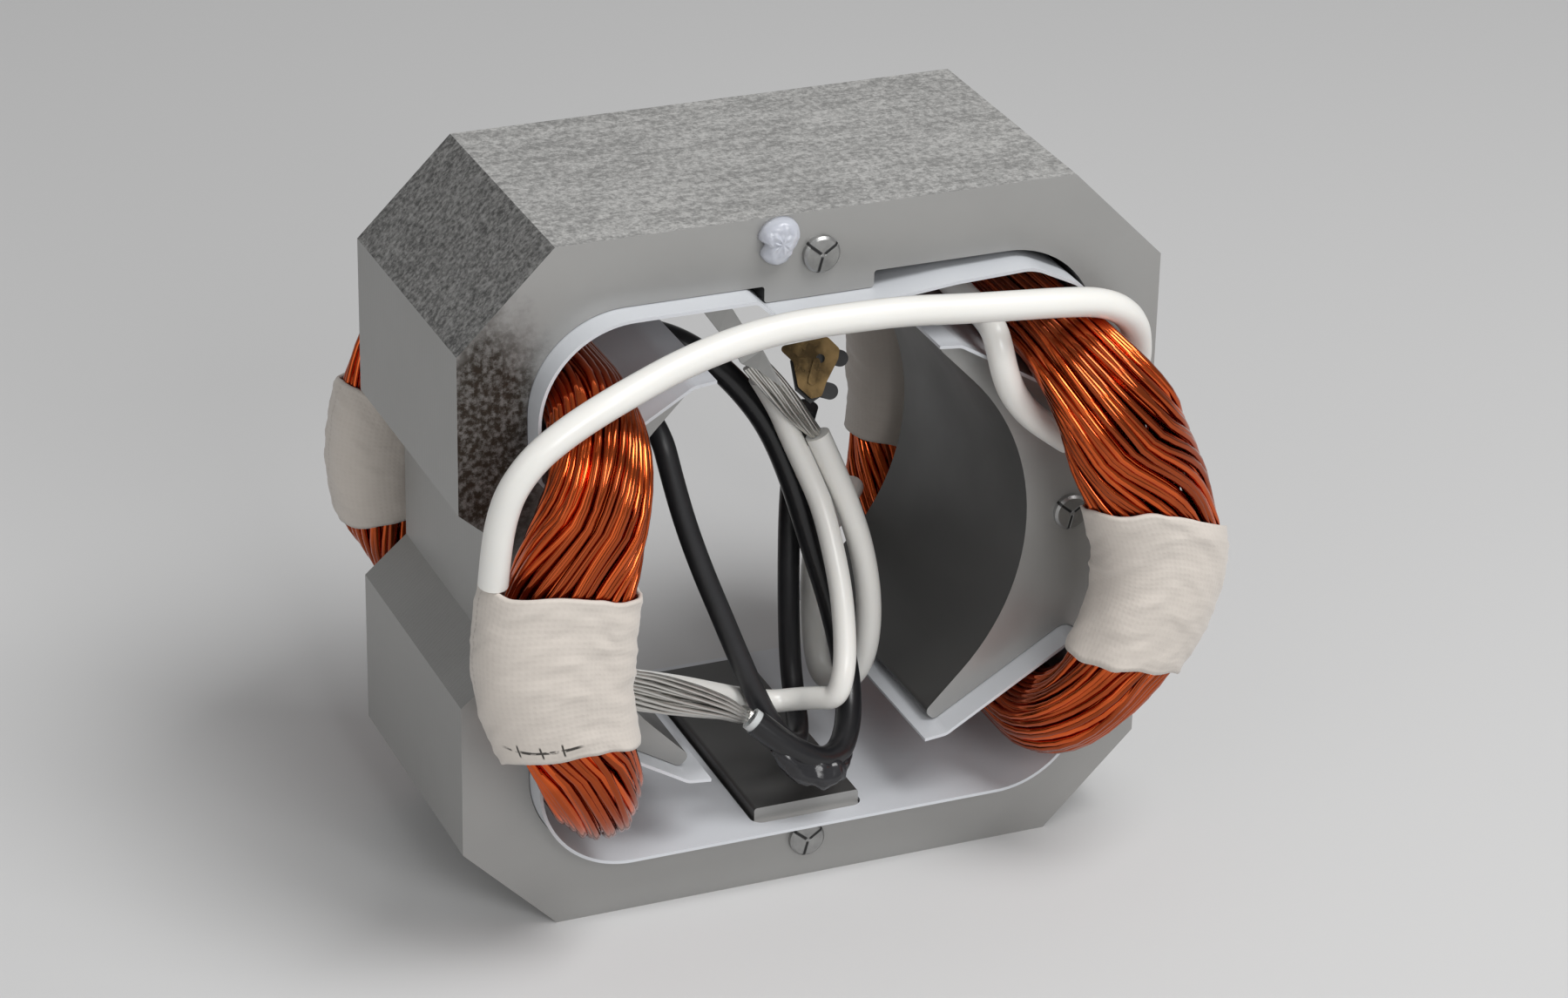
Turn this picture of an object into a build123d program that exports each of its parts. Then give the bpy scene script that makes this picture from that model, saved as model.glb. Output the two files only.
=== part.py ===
"""Wound stator of a two-pole universal motor, with its field windings and loose leads.

The bore axis runs along Y, the poles face each other along X, and the origin is
on the bore axis at the middle of the stack. The end with the tinned strands is
the front, at -Y. All lengths are in millimetres and all angles in degrees.
"""

from build123d import *
from math import cos, pi, radians, sin, tan
import os

os.makedirs("parts", exist_ok=True)

# Lamination stack
stack_side = 90.0
stack_length = 37.3
corner_cut = 12.0
notch_mouth = 25.6
notch_floor = 16.0
notch_depth = 5.5

# Opening in the sheets
bore_radius = 28.6
pole_face_angle = 44.0
pole_flare = 7.0
horn_tip = 1.8
horn_round = 0.8
flank_slope = 31.0
side_yoke = 8.5
top_yoke = 8.7
window_corner = 12.1
root_round = 2.0
tongue_width = 14.0
tongue_height = 2.1
tongue_round = 0.4

# Rivets
rivet_diameter = 3.2
rivet_clearance = 0.1
rivet_head = 4.6
rivet_head_height = 0.9
rivet_bevel = 0.3
rivet_inset_yoke = 5.4
rivet_inset_side = 10.5

# Window liners
liner_thickness = 0.4
liner_gap = 0.1
liner_overhang = 3.6
leaf_length = 2.9
liner_hole_side = 0.4
liner_hole_end = 0.95
liner_hole_round = 1.5
liner_sag = 1.2
sag_reach = 20.5
sag_angle = 40.0
leaf_lift = 0.3
leaf_round = 2.0
tongue_step = 2.2
step_rounds = (1.0, 0.8)
sag_rounds = (8.0, 8.0, 6.0, 6.0, 6.0)

# Windings
slot_x = 29.9
slot_z = 25.8
slot_half_width = 5.2
slot_half_height = 5.0
slot_tilt = 45.0
bundle_power = 2.4
mouth_clearance = 1.0
bulge_lean = 1.12
ridges = 16
ridge_depth = 0.55
turn_spans = 16
leg_inset = 0.8

# Bulge, bend radius, half width, half thickness and twist of each end turn
left_front_turn = (6.2, 9.9, 7.9, 6.3, -130.0)
left_rear_turn = (7.2, 10.3, 8.4, 6.4, -130.0)
right_front_turn = (11.3, 10.4, 7.8, 6.4, -150.0)
right_rear_turn = (6.2, 11.2, 9.0, 6.6, -150.0)

# Tape
tape_clearance = 0.15
tape_thickness = 0.5
tape_spans = 4

# Leads
crossover_diameter = 3.6
inner_sleeve_diameter = 3.4
white_lead_diameter = 2.9
white_sleeve_diameter = 3.2
black_sleeve_diameter = 3.3
black_lead_diameter = 2.8
arc_share = 0.45
drawn_length = 37.3
lining_wall = 0.35
lining_length = 0.8

# Strands, splice and small pieces
strand_ridges = 8
strand_groove = 0.16
lead_gap = 0.12
lump_half_length = 4.0
lump_half_width = 1.7
lump_half_thickness = 1.0
lump_bevel = 0.5
lump_place = 0.62
lump_gap = 0.35
dab_x = -5.6
dab_lift = 2.6
dab_width = 6.4
dab_height = 5.6
dab_thickness = 1.6
dab_round = 1.2
strap_back = 7.6
strap_thickness = 0.6

# Terminal
terminal_plane = Plane(origin=(9.0, 3.4, 13.8), x_dir=(0.93, -0.36, 0.02), z_dir=(-0.35, -0.83, 0.43))
terminal_round = 0.5
terminal_hole = 1.1
terminal_hole_place = (0.9, 1.2)
terminal_thickness = 0.8
terminal_rib_place = (0.1, -0.4)
terminal_rib_length = 3.4
terminal_rib_width = 0.9
terminal_rib_height = 0.45
terminal_rib_turn = 75.0
terminal_lobes = ((2.7, 1.4), (1.4, -2.7))
lobe_length = 3.4
lobe_width = 2.1
lobe_turn = -15.0
backing_thickness = 0.9

half_side = stack_side / 2
half_length = stack_length / 2
slot_wall = half_side - side_yoke
yoke_face = half_side - top_yoke
tongue_face = yoke_face - tongue_height


# Profile of the sheets, worked out from the pole
def polar_point(radius, angle):
    return Vector(radius * cos(radians(angle)), radius * sin(radians(angle)))


flare_start = polar_point(bore_radius, pole_face_angle)
flare_direction = polar_point(1, pole_face_angle + 90)
horn_inner = flare_start + flare_direction * pole_flare
horn_outer = horn_inner + polar_point(horn_tip, pole_face_angle)
flank_rise = tan(radians(flank_slope))
root_z = horn_outer.Y - (slot_wall - horn_outer.X) * flank_rise

with BuildPart() as lamination_stack:
    with BuildSketch(Plane.XZ) as sheet:
        Rectangle(stack_side, stack_side)
        chamfer(sheet.vertices(), length=corner_cut)
        for side in (-1, 1):
            with BuildLine():
                Polyline(
                    (side * half_side, notch_mouth / 2),
                    (side * (half_side - notch_depth), notch_floor / 2),
                    (side * (half_side - notch_depth), -notch_floor / 2),
                    (side * half_side, -notch_mouth / 2),
                    close=True,
                )
            make_face(mode=Mode.SUBTRACT)
        with BuildLine():
            FilletPolyline(
                (0, tongue_face),
                (tongue_width / 2, tongue_face),
                (tongue_width / 2, yoke_face),
                (slot_wall, yoke_face),
                (slot_wall, root_z),
                horn_outer,
                horn_inner,
                flare_start,
                radius=[tongue_round, tongue_round, window_corner, root_round, horn_round, horn_round],
            )
            CenterArc((0, 0), bore_radius, 0, pole_face_angle)
            mirror(about=Plane.YZ)
            mirror(about=Plane.XZ)
        make_face(mode=Mode.SUBTRACT)
        with Locations((0, half_side - rivet_inset_yoke), (0, rivet_inset_yoke - half_side)):
            Circle(rivet_diameter / 2 + rivet_clearance, mode=Mode.SUBTRACT)
        with Locations((half_side - rivet_inset_side, 0), (rivet_inset_side - half_side, 0)):
            Circle(rivet_diameter / 2 + rivet_clearance, mode=Mode.SUBTRACT)
    extrude(amount=half_length, both=True)

lamination_stack.part.label = "lamination_stack"
export_step(lamination_stack.part, "parts/lamination_stack.step")


# Rivets, headed at both ends of the stack
def make_rivet(x, z):
    with BuildPart() as rivet:
        with BuildSketch(Plane.XZ):
            with Locations((x, z)):
                Circle(rivet_diameter / 2)
        extrude(amount=half_length, both=True)
        for face_plane in (Plane.XZ.offset(half_length), Plane.XZ.offset(-half_length)):
            outward = 1 if face_plane.origin.Y < 0 else -1
            with BuildSketch(face_plane):
                with Locations((x, z)):
                    Circle(rivet_head / 2)
            extrude(amount=outward * rivet_head_height)
        ends = rivet.faces().sort_by(Axis.Y)
        chamfer([ends[0].edges()[0], ends[-1].edges()[0]], length=rivet_bevel)
    return rivet.part


rivet_places = {
    "rivet_top": (0, half_side - rivet_inset_yoke),
    "rivet_bottom": (0, rivet_inset_yoke - half_side),
    "rivet_left": (rivet_inset_side - half_side, 0),
    "rivet_right": (half_side - rivet_inset_side, 0),
}
for rivet_name, (rivet_x, rivet_z) in rivet_places.items():
    rivet_part = make_rivet(rivet_x, rivet_z)
    rivet_part.label = rivet_name
    export_step(rivet_part, f"parts/{rivet_name}.step")

# Window liners: one folded sheet lies against pole flank, slot wall, yoke, slot wall and flank
liner_inset = liner_gap + liner_thickness / 2
liner_wall = slot_wall - liner_inset
liner_yoke = yoke_face - liner_inset
liner_flank = horn_outer + polar_point(liner_inset, 90 - flank_slope)
liner_root = Vector(liner_wall, liner_flank.Y - (liner_wall - liner_flank.X) * flank_rise)
liner_leaf = liner_flank + Vector(-leaf_length, leaf_lift)
liner_corner = window_corner - liner_inset
liner_root_round = root_round - liner_inset
under_tongue = tongue_face - liner_inset

flat_liner_line = [
    (-liner_leaf.X, -liner_leaf.Y),
    (-liner_flank.X, -liner_flank.Y),
    (-liner_root.X, -liner_root.Y),
    (-liner_wall, -liner_yoke),
    (liner_wall, -liner_yoke),
    (liner_root.X, -liner_root.Y),
    (liner_flank.X, -liner_flank.Y),
    (liner_leaf.X, -liner_leaf.Y),
]
flat_liner_radii = [
    leaf_round, liner_root_round, liner_corner, liner_corner, liner_root_round, leaf_round
]

with BuildPart() as window_liner_bottom:
    with BuildSketch(Plane.XZ):
        with BuildLine():
            FilletPolyline(*flat_liner_line, radius=flat_liner_radii)
        trace(line_width=liner_thickness)
    extrude(amount=half_length + liner_overhang, both=True)
    with BuildSketch(Plane.XY.offset(-half_side)):
        RectangleRounded(
            tongue_width + 2 * liner_hole_side,
            stack_length + 2 * liner_hole_end,
            liner_hole_round,
        )
    extrude(amount=top_yoke + tongue_height, mode=Mode.SUBTRACT)

window_liner_bottom.part.label = "window_liner_bottom"
export_step(window_liner_bottom.part, "parts/window_liner_bottom.step")

# The top sheet passes under the tongue and sags away from the yoke on the right
sag_start = Vector(slot_wall - sag_reach, liner_yoke - liner_sag)
sag_end = Vector(slot_wall - sag_reach / 2, liner_yoke - liner_sag * 2 / 3)
arc_centre = Vector(slot_wall - window_corner, yoke_face - window_corner)
sag_corner = arc_centre + polar_point(liner_corner - liner_gap, sag_angle)
sag_wall = Vector(liner_wall - liner_gap / 2, arc_centre.Y + liner_sag)

top_liner_line = [
    (-liner_leaf.X, liner_leaf.Y),
    (-liner_flank.X, liner_flank.Y),
    (-liner_root.X, liner_root.Y),
    (-liner_wall, liner_yoke),
    (-tongue_width / 2 - tongue_step, liner_yoke),
    (-tongue_width / 2, under_tongue),
    (tongue_width / 2, under_tongue),
    sag_start,
    sag_end,
    sag_corner,
    sag_wall,
    (liner_root.X, liner_root.Y),
    (liner_flank.X, liner_flank.Y),
    (liner_leaf.X, liner_leaf.Y),
]
top_liner_radii = [
    leaf_round, liner_root_round, liner_corner, *step_rounds, *sag_rounds, liner_root_round, leaf_round
]

with BuildPart() as window_liner_top:
    with BuildSketch(Plane.XZ):
        with BuildLine():
            FilletPolyline(*top_liner_line, radius=top_liner_radii)
        trace(line_width=liner_thickness)
    extrude(amount=half_length + liner_overhang, both=True)

window_liner_top.part.label = "window_liner_top"
export_step(window_liner_top.part, "parts/window_liner_top.step")


# Windings: a bundle leaves one slot, bulges past the end of the pole and enters the other slot
def bundle_plane(side, end, share, turn):
    """Plane across the bundle; the share is 0 at the top slot and 1 at the bottom slot."""
    bulge, bend = turn[0], turn[1]
    quarter = pi / 2 * bend
    total = 2 * quarter + 2 * (slot_z - bend)
    travel = min(share, 1 - share) * total
    half = 1 if share <= 0.5 else -1
    bent = min(travel / bend, pi / 2)
    lean = share**bulge_lean
    place = Vector(
        side * (slot_x + bulge * sin(pi * lean) ** 2),
        end * (half_length + mouth_clearance + bend * sin(bent)),
        half * (slot_z - bend * (1 - cos(bent)) - max(travel - quarter, 0)),
    )
    along = Vector(
        side * bulge * sin(2 * pi * lean) * pi * bulge_lean * share ** (bulge_lean - 1) / total,
        end * half * cos(bent),
        -sin(bent),
    ).normalized()
    across = (Vector(side, 0, 0) - along * (along.X * side)).normalized()
    return Plane(origin=place, x_dir=across, z_dir=along * (-end * side))


def bundle_outline(share, turn, count, grow=0.0, ridge=0.0):
    """Points round the bundle: a rounded oval, every second point pulled in by the ridge depth."""
    half_width, half_thickness, twist = turn[2:]
    swell = sin(pi * share) ** 2
    a = slot_half_width + (half_width - slot_half_width) * swell + grow
    b = slot_half_height + (half_thickness - slot_half_height) * swell + grow
    tilt = -slot_tilt * (1 - swell)
    points = []
    for i in range(count):
        phi = 360 * i / count + twist * share - tilt
        c, s = abs(cos(radians(phi))) / a, abs(sin(radians(phi))) / b
        radius = (c**bundle_power + s**bundle_power) ** (-1 / bundle_power)
        radius -= ridge * (i % 2)
        points.append(polar_point(radius, phi + tilt))
    return points


def make_winding(side, front_turn, rear_turn):
    with BuildPart() as winding:
        for end, turn in ((-1, front_turn), (1, rear_turn)):
            for span in range(turn_spans + 1):
                share = span / turn_spans
                with BuildSketch(bundle_plane(side, end, share, turn)):
                    with BuildLine():
                        Polyline(*bundle_outline(share, turn, 2 * ridges, 0, ridge_depth), close=True)
                    make_face()
            loft(ruled=True, clean=False)
        for slot in (0, 1):
            with BuildSketch(bundle_plane(side, -1, slot, front_turn)):
                with BuildLine():
                    Polyline(*bundle_outline(slot, front_turn, 2 * ridges, -leg_inset), close=True)
                make_face()
            extrude(until=Until.NEXT, dir=(0, 1, 0), clean=False)
    return winding.part


def make_tape(side, end, turn, first_share, last_share, flare, slants):
    """The flare widens the upper edge where a sleeve leaves it, and the slants tilt the two edges."""
    with BuildPart() as tape:
        for grow, mode in ((tape_clearance + tape_thickness, Mode.ADD), (tape_clearance, Mode.SUBTRACT)):
            for span in range(tape_spans + 1):
                share = first_share + (last_share - first_share) * span / tape_spans
                spread = abs(flare) / 2 * (1 - span / tape_spans)
                slant = slants[0] + (slants[1] - slants[0]) * span / tape_spans
                wider = (turn[0], turn[1], (turn[2] + spread) / cos(radians(slant)), turn[3], 0)
                with BuildSketch(bundle_plane(side, end, share, turn).rotated((0, slant, 0))):
                    with Locations((spread if flare > 0 else -spread, 0)):
                        with BuildLine():
                            Spline(*bundle_outline(share, wider, ridges, grow), periodic=True)
                    make_face()
            loft(mode=mode)
    return tape.part


winding_places = {
    "coil_left": (-1, left_front_turn, left_rear_turn),
    "coil_right": (1, right_front_turn, right_rear_turn),
}
for name, place in winding_places.items():
    winding_part = make_winding(*place)
    winding_part.label = name
    export_step(winding_part, f"parts/{name}.step")

tape_places = {
    "tape_left_front": (-1, -1, left_front_turn, 0.375, 0.71, 2.2, (0, 0)),
    "tape_left_rear": (-1, 1, left_rear_turn, 0.40, 0.64, 0.0, (0, 0)),
    "tape_right_front": (1, -1, right_front_turn, 0.445, 0.74, -1.6, (14, -12)),
    "tape_right_rear": (1, 1, right_rear_turn, 0.36, 0.69, 0.0, (0, 0)),
}
for name, place in tape_places.items():
    tape_part = make_tape(*place)
    tape_part.label = name
    export_step(tape_part, f"parts/{name}.step")


def follow_stack(points):
    """The routes were laid out on a stack of drawn_length, and keep their distance from its ends."""
    drawn_half = drawn_length / 2
    longer = half_length - drawn_half
    return [(x, y + longer * max(-1, min(1, y / drawn_half)), z) for x, y, z in points]


# Leads and sleeves: plain tubes of straight runs joined by arcs
def make_lead(name, points, diameter):
    corners = [Vector(*point) for point in points]
    radii = []
    for before, here, after in zip(corners, corners[1:], corners[2:]):
        turn = (here - before).get_angle(after - here)
        run = min((here - before).length, (after - here).length)
        radii.append(arc_share * run / tan(radians(turn / 2)))
    with BuildPart() as lead:
        with BuildLine() as route:
            FilletPolyline(*points, radius=radii)
        with BuildSketch(Plane(origin=route.line @ 0, z_dir=route.line % 0)):
            Circle(diameter / 2)
        sweep()
    length = sum(edge.length for edge in route.edges())
    share = lead.part.volume / (length * pi * diameter**2 / 4)
    print(name, "length", round(length, 1), "volume share", round(share, 4))
    print("  radii", [round(radius, 1) for radius in radii])
    lead.part.label = name
    export_step(lead.part, f"parts/{name}.step")


crossover_route = follow_stack([
    (-44.8, -30.6, 11.1),
    (-44.7, -31.2, 15.3),
    (-44.0, -31.8, 19.4),
    (-42.8, -32.2, 22.6),
    (-40.3, -32.4, 25.8),
    (-36.6, -32.2, 28.2),
    (-32.3, -31.8, 30.2),
    (-27.3, -31.0, 31.9),
    (-22.0, -30.0, 33.4),
    (-15.3, -29.0, 34.7),
    (-8.2, -28.2, 35.3),
    (-0.7, -27.8, 35.1),
    (7.2, -27.6, 34.8),
    (15.0, -27.6, 33.9),
    (21.9, -27.8, 33.4),
    (27.8, -27.6, 32.8),
    (32.7, -27.0, 31.9),
    (36.4, -26.0, 29.9),
    (39.0, -24.4, 26.9),
    (40.7, -22.8, 23.4),
    (42.0, -21.6, 19.7),
    (42.9, -21.0, 16.0),
])
inner_sleeve_route = follow_stack([
    (23.0, 22.5, 26.5),
    (21.6, 18.0, 28.6),
    (21.0, 11.0, 29.6),
    (20.9, 2.5, 29.7),
    (21.3, -6.0, 29.2),
    (21.9, -13.0, 28.2),
    (21.3, -21.6, 28.5),
    (21.3, -23.8, 26.5),
    (21.9, -24.2, 23.4),
    (23.4, -23.6, 19.9),
    (26.1, -22.4, 16.4),
    (29.4, -21.5, 13.4),
    (32.5, -21.0, 11.0),
])
white_lead_route = follow_stack([
    (-1.0, -3.2, 17.1),
    (1.6, -2.7, 12.8),
    (3.3, -2.5, 8.7),
    (5.1, -3.6, 4.1),
    (6.7, -5.4, -0.4),
    (7.3, -7.8, -5.2),
    (7.4, -10.6, -9.9),
    (6.8, -13.6, -14.4),
    (5.7, -16.4, -18.0),
    (4.6, -16.8, -21.7),
    (3.0, -14.8, -22.4),
    (1.0, -12.4, -23.4),
    (-1.9, -11.2, -23.9),
    (-6.5, -12.2, -22.1),
    (-13.1, -17.0, -17.4),
    (-19.4, -21.5, -13.0),
    (-26.1, -26.4, -8.6),
])
white_sleeve_route = follow_stack([
    (6.9, -3.2, 8.0),
    (8.9, -4.0, 3.1),
    (10.6, -5.2, -1.8),
    (12.2, -6.2, -7.7),
    (13.0, -7.0, -14.2),
    (12.7, -7.4, -20.1),
    (11.6, -6.8, -24.4),
    (10.1, -4.8, -26.6),
    (9.0, -2.0, -26.9),
    (9.0, 0.4, -24.6),
    (9.1, 1.8, -19.7),
    (9.4, 3.0, -14.4),
    (11.4, 6.2, -11.2),
    (14.6, 11.2, -12.6),
    (17.6, 16.0, -14.4),
    (20.2, 20.0, -15.6),
    (22.8, 23.8, -16.2),
    (25.4, 27.4, -16.4),
])
black_sleeve_route = follow_stack([
    (-7.2, -19.0, -21.7),
    (-5.0, -20.0, -23.7),
    (-2.2, -20.8, -26.0),
    (1.0, -20.8, -27.9),
    (4.1, -19.2, -28.0),
    (6.4, -16.2, -26.5),
    (7.9, -13.0, -24.5),
    (8.6, -10.2, -21.4),
    (8.5, -7.8, -17.6),
    (7.9, -5.6, -13.0),
    (6.5, -3.4, -6.9),
    (4.6, -1.0, 1.5),
    (2.1, 0.6, 8.3),
    (-1.3, 1.8, 13.4),
    (-5.0, 3.0, 17.4),
    (-8.9, 5.0, 20.0),
    (-12.5, 8.2, 20.4),
    (-16.3, 12.5, 19.2),
    (-20.3, 17.5, 16.7),
    (-24.0, 22.0, 13.2),
    (-26.2, 26.0, 10.0),
])
black_lead_route = follow_stack([
    (-25.9, 27.0, 1.4),
    (-21.6, 21.0, 7.4),
    (-18.5, 11.0, 13.0),
    (-17.0, 1.0, 17.0),
    (-15.6, -7.6, 14.0),
    (-14.7, -9.2, 8.5),
    (-13.5, -10.6, 2.8),
    (-11.8, -12.0, -3.1),
    (-9.8, -13.2, -8.8),
    (-7.9, -14.4, -14.3),
    (-6.0, -15.2, -19.4),
    (-4.1, -15.8, -23.8),
    (-1.5, -15.0, -27.6),
    (1.5, -11.6, -30.4),
    (3.7, -7.0, -30.8),
    (4.9, -2.4, -28.7),
    (5.2, -0.2, -24.5),
    (5.2, 0.6, -18.1),
    (5.3, 1.2, -10.9),
    (5.7, 2.2, -4.1),
    (6.6, 3.4, 1.9),
    (7.8, 3.6, 6.4),
    (8.2, 3.1, 9.0),
])

make_lead("crossover_sleeve", crossover_route, crossover_diameter)
make_lead("inner_sleeve", inner_sleeve_route, inner_sleeve_diameter)
make_lead("white_lead", white_lead_route, white_lead_diameter)
make_lead("white_sleeve", white_sleeve_route, white_sleeve_diameter)
make_lead("black_sleeve", black_sleeve_route, black_sleeve_diameter)
make_lead("black_lead", black_lead_route, black_lead_diameter)


# Bundles of bare strands: ridged ovals placed along hand-chosen stations
def strand_outline(half_width, half_thickness):
    points = []
    for i in range(2 * strand_ridges):
        phi = radians(180 * i / strand_ridges)
        depth = 1 - strand_groove * (i % 2)
        points.append((half_width * depth * cos(phi), half_thickness * depth * sin(phi)))
    return points


def make_strands(name, stations, wide_direction):
    """Each station is a place, a half width and a half thickness."""
    places = [Vector(*station[0]) for station in stations]
    with BuildPart() as strands:
        for i, (place, half_width, half_thickness) in enumerate(stations):
            along = places[min(i + 1, len(places) - 1)] - places[max(i - 1, 0)]
            wide = Vector(*wide_direction)
            across = wide - along.normalized() * wide.dot(along.normalized())
            with BuildSketch(Plane(origin=place, x_dir=across, z_dir=along)):
                with BuildLine():
                    Polyline(*strand_outline(half_width, half_thickness), close=True)
                make_face()
        loft(ruled=True)
    strands.part.label = name
    export_step(strands.part, f"parts/{name}.step")


def follow_stations(stations):
    return [(follow_stack([place])[0], *sizes) for place, *sizes in stations]


sleeve_end = Vector(*black_sleeve_route[0])
sleeve_end_direction = (Vector(*black_sleeve_route[1]) - sleeve_end).normalized()
lining_plane = Plane(origin=sleeve_end - sleeve_end_direction * lining_length, z_dir=sleeve_end_direction)
strands_end = sleeve_end - sleeve_end_direction * (lining_length + lead_gap)

tinned_stations = follow_stations([
    ((-25.9, -29.3, -8.6), 2.5, 0.9),
    ((-22.4, -27.8, -10.6), 2.4, 1.0),
    ((-17.6, -25.4, -13.5), 2.0, 1.1),
    ((-13.1, -22.8, -16.6), 1.5, 1.1),
    ((-10.0, -20.6, -19.3), 1.05, 1.0),
])
tinned_stations.append((strands_end - sleeve_end_direction, 0.95, 0.95))
tinned_stations.append((strands_end, 0.9, 0.9))
open_end_stations = follow_stations([
    ((-3.5, -6.8, 21.0), 1.5, 0.55),
    ((-0.2, -6.4, 16.9), 1.6, 0.65),
    ((2.4, -5.5, 13.5), 1.5, 0.7),
    ((4.8, -4.3, 10.5), 1.15, 0.75),
    ((6.5, -3.4, 8.4), 0.9, 0.75),
])
make_strands("tinned_strands", tinned_stations, (0, 0, 1))
make_strands("open_end_strands", open_end_stations, (1, 0, 1))

# Clear lining that shows as a ring at the cut end of the black sleeve
with BuildPart() as sleeve_lining:
    with BuildSketch(lining_plane):
        Circle(black_sleeve_diameter / 2 - lining_wall / 2)
        Circle(black_sleeve_diameter / 2 - lining_wall * 3 / 2, mode=Mode.SUBTRACT)
    extrude(amount=lining_length)

sleeve_lining.part.label = "sleeve_lining"
export_step(sleeve_lining.part, "parts/sleeve_lining.step")

# Lump of compound under the first stretch of the black sleeve
lump_run = Vector(*black_sleeve_route[2]) - sleeve_end
lump_side = lump_run.cross(Vector(0, 1, 0)).normalized()
lump_drop = black_sleeve_diameter / 2 + lump_half_thickness + lump_gap
lump_plane = Plane(
    origin=sleeve_end + lump_run * lump_place - lump_side * lump_drop, x_dir=lump_run, z_dir=lump_side
)

with BuildPart() as sealing_compound:
    with BuildSketch(lump_plane.offset(-lump_half_thickness)):
        Ellipse(lump_half_length, lump_half_width)
    extrude(amount=2 * lump_half_thickness)
    chamfer(sealing_compound.edges().filter_by(GeomType.ELLIPSE), length=lump_bevel)

sealing_compound.part.label = "sealing_compound"
export_step(sealing_compound.part, "parts/sealing_compound.step")

# Translucent dab beside the top rivet
with BuildPart() as silicone_dab:
    with BuildSketch(Plane.XZ.offset(half_length)):
        with Locations((dab_x, half_side - rivet_inset_yoke + dab_lift)):
            Ellipse(dab_width / 2, dab_height / 2)
    extrude(amount=dab_thickness)
    fillet(silicone_dab.faces().sort_by(Axis.Y)[0].edges(), radius=dab_round)

silicone_dab.part.label = "silicone_dab"
export_step(silicone_dab.part, "parts/silicone_dab.step")

# Flat strap that joins the strands and the white lead
with BuildPart() as splice_strap:
    with BuildSketch(Plane.XZ.offset(strap_back)):
        with BuildLine():
            Polyline(
                (-11.0, 30.0), (-7.1, 29.7), (-5.4, 26.8), (-2.7, 23.1), (0.0, 17.9), (-0.6, 18.1),
                (-3.3, 20.5), (-5.4, 21.6), (-5.9, 22.6), (-8.4, 26.3), close=True,
            )
        make_face()
    extrude(amount=strap_thickness)

splice_strap.part.label = "splice_strap"
export_step(splice_strap.part, "parts/splice_strap.step")

# Push-on terminal and the black piece behind it, drawn as the front view shows them
with BuildPart() as brass_terminal:
    with BuildSketch(terminal_plane) as terminal_face:
        with BuildLine():
            Polyline(
                (-4.5, 2.7), (1.8, 3.9), (3.3, 2.4), (3.1, 1.1), (1.6, -1.8),
                (1.0, -3.5), (-0.3, -3.8), (-1.9, -2.3), (-2.5, 0.8), close=True,
            )
        make_face()
        fillet(terminal_face.vertices(), radius=terminal_round)
        with Locations(terminal_hole_place):
            Circle(terminal_hole / 2, mode=Mode.SUBTRACT)
    extrude(amount=terminal_thickness)
    with BuildSketch(terminal_plane.offset(terminal_thickness)):
        with Locations(terminal_rib_place):
            SlotOverall(terminal_rib_length, terminal_rib_width, rotation=terminal_rib_turn)
    extrude(amount=terminal_rib_height)

brass_terminal.part.label = "brass_terminal"
export_step(brass_terminal.part, "parts/brass_terminal.step")

with BuildPart() as terminal_backing:
    with BuildSketch(terminal_plane.offset(-lead_gap)):
        with BuildLine():
            Polyline((-2.9, 1.0), (1.6, 3.2), (2.6, 1.4), (0.8, -3.6), (-0.4, -4.4), (-2.3, -2.7), close=True)
        make_face()
        for lobe_place in terminal_lobes:
            with Locations(lobe_place):
                SlotOverall(lobe_length, lobe_width, rotation=lobe_turn)
    extrude(amount=-backing_thickness)

terminal_backing.part.label = "terminal_backing"
export_step(terminal_backing.part, "parts/terminal_backing.step")
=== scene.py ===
"""Wound stator of a universal motor: the looks of the packed part.

The part's own solids come in as a fixed frame. This script dresses them with wire by wire
windings, cotton tape, sleeves and leads, gives the solids that stay their finish, and sets up
the camera and the stage. All lengths are in metres, in the frame of the part: the bore runs
along Y, with its front at -Y, and the origin is at the middle of the bore.
"""

import bmesh
import bpy
import random
from bpy.props import FloatProperty, FloatVectorProperty, IntProperty, PointerProperty
from math import cos, pi, radians, sin
from mathutils import Matrix, Vector, noise
from typing import NamedTuple


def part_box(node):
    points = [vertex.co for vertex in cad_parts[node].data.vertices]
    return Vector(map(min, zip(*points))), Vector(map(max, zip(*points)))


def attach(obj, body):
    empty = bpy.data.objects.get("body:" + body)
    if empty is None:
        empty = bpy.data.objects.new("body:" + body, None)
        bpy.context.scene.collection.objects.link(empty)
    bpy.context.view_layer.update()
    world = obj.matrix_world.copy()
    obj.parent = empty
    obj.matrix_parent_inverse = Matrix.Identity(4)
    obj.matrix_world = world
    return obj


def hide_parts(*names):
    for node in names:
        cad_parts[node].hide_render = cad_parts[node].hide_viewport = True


bl_info = {
    "name": "Wound stator",
    "version": (1, 0, 0),
    "blender": (4, 5, 0),
    "location": "View3D > Sidebar > Stator",
    "description": "Dresses the solids of a wound stator with windings, tape, liners and leads",
    "category": "Object",
}

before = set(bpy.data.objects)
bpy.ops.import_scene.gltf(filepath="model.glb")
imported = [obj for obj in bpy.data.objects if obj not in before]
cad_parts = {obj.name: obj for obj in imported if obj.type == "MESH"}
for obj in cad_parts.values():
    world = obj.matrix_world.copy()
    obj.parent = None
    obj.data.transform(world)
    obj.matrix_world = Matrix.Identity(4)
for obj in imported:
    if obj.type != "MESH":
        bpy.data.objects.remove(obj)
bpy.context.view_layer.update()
mm = 0.001

# Stack, from the frame
stack_low, stack_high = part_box("lamination_stack")
half_length = stack_high.y

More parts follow.
